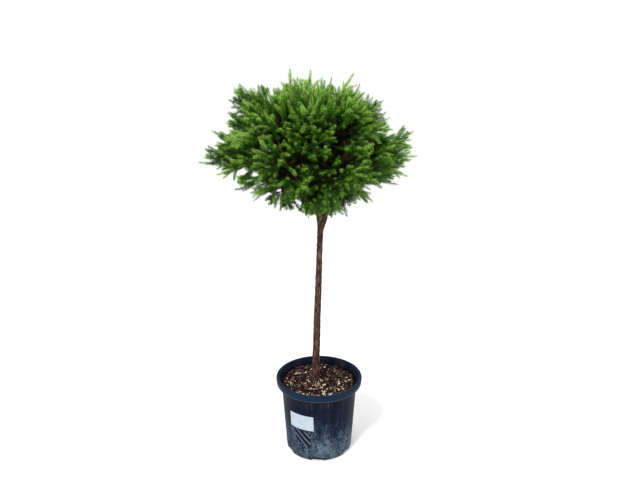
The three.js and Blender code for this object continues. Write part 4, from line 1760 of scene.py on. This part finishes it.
@dataclass
class Pot:
    """The nursery pot: a tapering shell with a deep rim, drained by notches at its foot."""

    sides: int = 144
    height: float = 237.0
    base_radius: float = 92.0
    heel_radius: float = 100.0
    heel_height: float = 9.0
    neck_radius: float = 113.5
    neck_height: float = 212.0
    rim_radius: float = 130.0
    rim_width: float = 10.0
    wall: float = 2.0
    ring_heights: Trio = (60.0, 120.0, 180.0)
    rim_profile: tuple[Pair, ...] = (
        (3.2, 3.2), (4.6, 19.4), (4.2, 20.0), (2.2, 20.0), (1.6, 19.2),
        (0.2, 5.6), (0.1, 4.2), (0.9, 1.3), (2.6, 0.1),
    )
    mouth_profile: tuple[Pair, ...] = ((2.4, 0.1), (0.8, 0.7), (0.0, 2.6), (-1.2, 4.6), (-3.4, 8.0))
    smooth_angle: float = 32.0
    notch_count: int = 6
    notch_turn: float = -3.7
    notch_width: float = 33.0
    notch_height: float = 12.0
    notch_depth: float = 24.0
    sticker_width: float = 80.0
    sticker_height: float = 50.0
    sticker_foot: float = 108.0
    sticker_turn: float = -29.5
    sticker_thickness: float = 0.25
    sticker_gap: float = 0.45
    sticker_crumple: float = 0.28
    sticker_corner: Pair = (0.72, 4.0)
    sticker_columns: int = 48
    sticker_rows: int = 30

    def wall_radius(self, height: float) -> float:
        """The radius of the wall's outside at a height."""
        share = (height - self.heel_height) / (self.neck_height - self.heel_height)
        return mix(self.heel_radius, self.neck_radius, share)

    def profile(self) -> list[Pair]:
        """Sets out the wall's section.

        Returns:
            Radius and height of each ring, from the underside up outside and down inside.
        """
        mouth = self.rim_radius - self.rim_width
        return [
            (self.base_radius, 0.0),
            (self.base_radius + 3.4, 0.9),
            (self.base_radius + 5.8, 2.9),
            (self.heel_radius - 0.9, 6.6),
            (self.heel_radius, self.heel_height),
            *((self.wall_radius(height), height) for height in self.ring_heights),
            (self.neck_radius, self.neck_height),
            (mouth - 1.2, self.height - 7),
            (mouth + 1.5, self.height - 3.2),
            *((self.rim_radius - inwards, self.height - down) for inwards, down in self.rim_profile),
            *((mouth + outwards, self.height - down) for outwards, down in self.mouth_profile),
            (self.neck_radius - self.wall, self.neck_height),
            (self.heel_radius - self.wall, self.heel_height),
            (self.base_radius - 1, self.wall + 0.4),
        ]

    def build(self) -> None:
        """Makes the shell and the sticker."""
        stations = [(height, 0.0, radius) for radius, height in self.profile()]
        shell = turned_form("pot_shell", stations, self.sides)
        self._cut_notches(shell)
        keep_alone(shell)
        bpy.ops.object.shade_smooth_by_angle(angle=math.radians(self.smooth_angle))
        settle(shell, [PotPlastic().dressed()], "pot_plastic", "pot")
        settle(self._sticker(), [StickerPaper().dressed()], "paper", "label")

    def _cut_notches(self, shell: bpy.types.Object) -> None:
        """Cuts the drainage notches out of the bottom corner.

        Args:
            shell: The pot.
        """
        start_afresh()
        cutters = []
        reach = self.heel_radius * MM
        for k in range(self.notch_count):
            turn = math.radians(self.notch_turn + k * 360 / self.notch_count)
            place = (reach * math.sin(turn), -reach * math.cos(turn), 0.0)
            bpy.ops.mesh.primitive_cube_add(size=1.0, location=place, rotation=(0.0, 0.0, turn))
            cutter = bpy.context.active_object
            cutter.scale = (self.notch_width * MM, self.notch_depth * MM, self.notch_height * 2 * MM)
            cutters.append(cutter)
        start_afresh()
        for cutter in cutters:
            cutter.select_set(True)
        bpy.context.view_layer.objects.active = cutters[0]
        bpy.ops.object.join()
        joined = bpy.context.active_object
        bpy.ops.object.transform_apply(location=True, rotation=True, scale=True)
        apply_modifier(shell, "BOOLEAN", object=joined, operation="DIFFERENCE", solver="EXACT")
        keep_alone(joined)
        bpy.ops.object.delete()

    def _sticker(self) -> bpy.types.Object:
        """Lays a sheet on the wall, a little crumpled, with one corner lifting.

        Returns:
            The sheet.
        """
        start_afresh()
        bpy.ops.mesh.primitive_grid_add(
            x_subdivisions=self.sticker_columns, y_subdivisions=self.sticker_rows, size=1.0
        )
        piece = bpy.context.active_object
        piece.name = "pot_sticker"
        fold, lift = self.sticker_corner
        for vertex in piece.data.vertices:
            across, up = vertex.co.x, vertex.co.y
            height = self.sticker_foot + (up + 0.5) * self.sticker_height
            inner = self.wall_radius(height) + self.sticker_gap
            crumple = noise.noise(Vector((across * 6, up * 5, 2.0)))
            corner = max(0.0, across + up - fold) * lift
            radius = inner + self.sticker_crumple * (1 + crumple) + corner
            turn = math.radians(self.sticker_turn) + across * self.sticker_width / inner
            vertex.co = (radius * math.sin(turn) * MM, -radius * math.cos(turn) * MM, height * MM)
        piece.data.update()
        pick_faces(piece, lambda face: True)
        bpy.ops.mesh.normals_make_consistent(inside=False)
        bpy.ops.object.mode_set(mode="OBJECT")
        middle = piece.data.polygons[len(piece.data.polygons) // 2]
        if middle.normal.dot(Vector((math.sin(math.radians(self.sticker_turn)), -1, 0))) < 0:
            bpy.ops.object.mode_set(mode="EDIT")
            bpy.ops.mesh.flip_normals()
            bpy.ops.object.mode_set(mode="OBJECT")
        apply_modifier(piece, "SOLIDIFY", thickness=self.sticker_thickness * MM, offset=-1.0)
        bpy.ops.object.shade_smooth()
        return piece


class Litter(Enum):
    """What lies on the compost: a material, its share of all and the range of its lengths."""

    BARK = (GroundStuff("chip_bark", (0.0015, 0.0008, 0.0008), (0.040, 0.018, 0.016)), 0.52, (5.0, 20.0))
    BROWN = (GroundStuff("chip_brown", (0.026, 0.012, 0.010), (0.180, 0.090, 0.068)), 0.15, (5.0, 17.0))
    RUST = (GroundStuff("chip_rust", (0.070, 0.022, 0.014), (0.230, 0.092, 0.058)), 0.05, (4.0, 12.0))
    GREY = (GroundStuff("chip_grey", (0.040, 0.045, 0.040), (0.300, 0.305, 0.270)), 0.11, (5.0, 14.0))
    WOOD = (GroundStuff("chip_wood", (0.240, 0.165, 0.105), (0.740, 0.610, 0.450)), 0.13, (9.0, 25.0))
    GRIT = (GroundStuff("chip_white", (0.480, 0.450, 0.400), (0.860, 0.830, 0.760)), 0.05, (3.0, 9.0))

    def __init__(self, stuff: GroundStuff, share: float, lengths: Pair) -> None:
        """Keeps the material, the share and the lengths in millimetres."""
        self.stuff, self.share, self.lengths = stuff, share, lengths


def swung(points: np.ndarray, first: int, second: int, angle: float) -> np.ndarray:
    """Turns points from one axis towards another.

    Args:
        points: The points, a row each.
        first: The axis turned from.
        second: The axis turned to.
        angle: In radians.

    Returns:
        The turned points.
    """
    matrix = np.eye(3)
    matrix[first, first] = matrix[second, second] = math.cos(angle)
    matrix[first, second], matrix[second, first] = math.sin(angle), -math.sin(angle)
    return points @ matrix


@dataclass
class Compost:
    """Composted bark in the pot: a lumpy bed with chips, flakes and splinters lying on it."""

    top: float = 218.0
    foot: float = 200.0
    radius: float = 112.6
    taper: float = 0.965
    rings: int = 26
    sides: int = 120
    flat_rim: float = 4.0
    rim_drop: float = 2.0
    smooth_angle: float = 50.0
    trunk_shift: float = -11.0
    mound_height: float = 5.5
    mound_spread: float = 27.0
    lumps: Pair = (0.045, 2.6)
    crumbs: Pair = (0.22, 1.5)
    edge_drop: float = 2.2
    edge_start: float = 95.0
    edge_width: float = 18.0
    chips: int = 2300
    chip_corners: int = 6
    chip_margin: float = 3.0
    chip_widths: Pair = (0.22, 0.62)
    chip_thicknesses: Pair = (0.08, 0.22)
    thickest: float = 3.4
    tilt: float = 0.28
    collar: float = 15.0
    pale_half_width: float = 42.0
    pale_shares: Pair = (0.72, 0.4)
    corner_stray: float = 0.3
    corner_reach: Pair = (0.72, 1.0)
    bow: float = 0.12
    upper_face: float = 0.86
    chip_rises: Pair = (0.2, 2.6)
    small_bias: float = 1.5
    front_bias: float = 1.5

    def surface(self, x: float, y: float) -> float:
        """Finds the height of the bed.

        Args:
            x: The place's x.
            y: The place's y.

        Returns:
            The height.
        """
        span = math.hypot(x, y)
        (large, rise), (small, roughness) = self.lumps, self.crumbs
        rough = noise.noise(Vector((x * large, y * large, 3.0))) * rise
        fine = noise.noise(Vector((x * small, y * small, 8.0))) * roughness
        edge = -self.edge_drop * max(0.0, (span - self.edge_start) / self.edge_width) ** 2
        mound = self.mound_height * math.exp(-((x - self.trunk_shift) ** 2 + y**2) / self.mound_spread**2)
        return self.top + rough + fine + edge + mound

    def build(self) -> None:
        """Makes the bed and what lies on it."""
        stuff = GroundStuff("compost", (0.0008, 0.0005, 0.0005), (0.020, 0.010, 0.009))
        settle(self._bed(), [stuff.dressed()], "compost", "soil")
        skins = [kind.stuff.dressed() for kind in Litter]
        settle(self._chips().piece("bark_chips"), skins, "compost")

    def _bed(self) -> bpy.types.Object:
        """Draws a low drum whose top is inset ring by ring and then heaped.

        Returns:
            The bed.
        """
        start_afresh()
        bpy.ops.mesh.primitive_cylinder_add(
            vertices=self.sides, radius=self.radius * MM, depth=(self.top - self.foot) * MM,
            location=(0.0, 0.0, (self.top + self.foot) / 2 * MM),
        )
        piece = bpy.context.active_object
        piece.name = "compost_bed"
        bpy.ops.object.transform_apply(location=True, rotation=True, scale=True)
        pick_faces(piece, lambda face: face.normal.z < -0.9)
        foot = (0.0, 0.0, self.foot * MM)
        bpy.ops.transform.resize(value=(self.taper, self.taper, 1.0), center_override=foot)
        pick_faces(piece, lambda face: face.normal.z > 0.9)
        for _ in range(self.rings):
            bpy.ops.mesh.inset(thickness=(self.radius - self.flat_rim) / self.rings * MM, depth=0.0)
        bpy.ops.object.mode_set(mode="OBJECT")
        for vertex in piece.data.vertices:
            if vertex.co.z > (self.top - 1) * MM:
                x, y = vertex.co.x / MM, vertex.co.y / MM
                vertex.co.z = self.surface(x, y) * MM
                if math.hypot(x, y) > self.radius - 1:
                    vertex.co.z -= self.rim_drop * MM
        piece.data.update()
        bpy.ops.object.shade_smooth_by_angle(angle=math.radians(self.smooth_angle))
        return piece

    def _chips(self) -> Heap:
        """Scatters chips of every kind, tilted and half sunk, the pale ones mostly at the front.

        Returns:
            The heap.
        """
        random = np.random.default_rng(Seed.CHIPS)
        kinds = list(Litter)
        shares = np.array([kind.share for kind in kinds])
        anywhere, at_middle = self.pale_shares
        heap = Heap()
        for _ in range(self.chips):
            slot = int(random.choice(len(kinds), p=shares / shares.sum()))
            length = mix(*kinds[slot].lengths, float(random.random()) ** self.small_bias)
            span = (self.radius - self.chip_margin - length / 3) * math.sqrt(random.random())
            turn = random.uniform(0, 2 * math.pi)
            x, y = span * math.cos(turn), span * math.sin(turn)
            middle = math.exp(-((x / self.pale_half_width) ** 2))
            front = (1 - y / self.radius) / 2 * (anywhere + at_middle * middle)
            is_pale = kinds[slot] in (Litter.WOOD, Litter.GRIT)
            is_buried = math.hypot(x - self.trunk_shift, y) < self.collar
            if is_buried or (is_pale and random.random() > front**self.front_bias):
                continue
            wide = length * random.uniform(*self.chip_widths)
            thick = min(self.thickest, length * random.uniform(*self.chip_thicknesses))
            points, faces = self._chip(length, wide, thick, random)
            heap.add(self._laid(points, x, y, random), faces, slot)
        return heap

    def _chip(self, length: float, wide: float, thick: float, random: np.random.Generator) -> Body:
        """Makes one flake with a broken outline: two faces of six corners joined by a rim.

        Args:
            length: Its length.
            wide: Its width.
            thick: Its thickness.
            random: The generator that it draws from.

        Returns:
            Corners and faces, about the origin.
        """
        corners, stray = self.chip_corners, self.corner_stray
        turns = (np.arange(corners) + random.uniform(-stray, stray, corners)) * 2 * np.pi / corners
        rim = np.stack((np.cos(turns) * length / 2, np.sin(turns) * wide / 2), axis=1)
        rim *= random.uniform(*self.corner_reach, (corners, 1))
        bow = self.bow * length * (rim[:, :1] / length * 2) ** 2 * random.uniform(-1, 1)
        upper = np.concatenate((rim * self.upper_face, bow + thick / 2), axis=1)
        lower = np.concatenate((rim, bow - thick / 2), axis=1)
        faces = [(0, k, k + 1) for k in range(1, corners - 1)]
        faces += [(corners, corners + k + 1, corners + k) for k in range(1, corners - 1)]
        for k in range(corners):
            after = (k + 1) % corners
            faces += [(k, corners + k, corners + after), (k, corners + after, after)]
        return np.concatenate((upper, lower)), np.array(faces)

    def _laid(self, points: np.ndarray, x: float, y: float, random: np.random.Generator) -> np.ndarray:
        """Turns a chip, tilts it and lays it on the bed.

        Args:
            points: Its corners.
            x: The place's x.
            y: The place's y.
            random: The generator that it draws from.

        Returns:
            The corners where it lies.
        """
        yaw, tilt, lean = random.uniform(0, 2 * math.pi), *(random.normal(0, self.tilt) for _ in range(2))
        points = swung(swung(swung(points, 0, 2, tilt), 2, 1, lean), 0, 1, yaw)
        return points + np.array((x, y, self.surface(x, y) + random.uniform(*self.chip_rises)))


# Stage


@dataclass
class Studio:
    """Pale floor, soft lights and the camera."""

    floor_size: float = 14.0
    floor_level: float = -0.0005
    sky_strength: float = 1.04
    lamp_aim: Trio = (0.0, 0.0, 0.75)
    lamps: tuple[tuple[str, Trio, float, float], ...] = (
        ("key", (-1.1, -2.3, 2.9), 110.0, 0.6),
        ("fill", (1.9, -1.7, 1.7), 8.0, 1.6),
    )
    camera_place: Trio = (0.003, -2.0, 1.339)
    camera_down: float = 18.5
    lens: float = 41.6
    sensor: float = 36.0

    def build(self) -> None:
        """Lays the floor, hangs the lights and sets the camera."""
        self._floor()
        self._lights()
        self._camera()
        bpy.context.scene.view_settings.view_transform = "Standard"

    def _floor(self) -> None:
        """Lays a wide pale floor."""
        start_afresh()
        bpy.ops.mesh.primitive_plane_add(size=self.floor_size, location=(0.0, 0.0, self.floor_level))
        floor = bpy.context.active_object
        floor.name = "studio_floor"
        bpy.ops.object.transform_apply(location=True, rotation=True, scale=True)
        finish = NodeFinish("studio_floor")
        tint = finish.coated((0.965, 0.965, 0.965), ((0.98, 0.98, 0.98), finish.cloud(6.0, 2.0)))
        floor.data.materials.append(finish.surface(Base_Color=tint, Roughness=0.9))

    def _lights(self) -> None:
        """Hangs a large soft key at the upper left and a fill at the right, under a bright sky."""
        world = bpy.data.worlds.new("studio_sky")
        bpy.context.scene.world = world
        world.use_nodes = True
        sky = world.node_tree.nodes["Background"]
        sky.inputs["Color"].default_value = (1.0, 1.0, 1.0, 1.0)
        sky.inputs["Strength"].default_value = self.sky_strength
        for name, place, power, size in self.lamps:
            light = bpy.data.lights.new(name, "AREA")
            light.energy, light.size = power, size
            lamp = bpy.data.objects.new(name, light)
            lamp.location = place
            lamp.rotation_euler = (Vector(self.lamp_aim) - Vector(place)).to_track_quat("-Z", "Y").to_euler()
            bpy.context.scene.collection.objects.link(lamp)

    def _camera(self) -> None:
        """Sets the camera at the photograph's own angle."""
        view = bpy.data.cameras.new("view")
        view.lens, view.sensor_width = self.lens, self.sensor
        camera = bpy.data.objects.new("view", view)
        camera.location = self.camera_place
        camera.rotation_euler = (math.radians(90 - self.camera_down), 0.0, 0.0)
        bpy.context.scene.collection.objects.link(camera)
        bpy.context.scene.camera = camera


def main() -> None:
    """Builds the whole plant, piece by piece."""
    logging.basicConfig(level=logging.INFO, format="%(message)s")
    Studio().build()
    Pot().build()
    Compost().build()
    crown = Crown()
    crown.grow()
    LOG.info("shoots: %s", ", ".join(f"{mass.name} {len(mass.shoots)}" for mass in crown.masses))
    Limbs(crown).build()
    Foliage(crown).build()
    start_afresh()


if __name__ == "__main__":
    main()
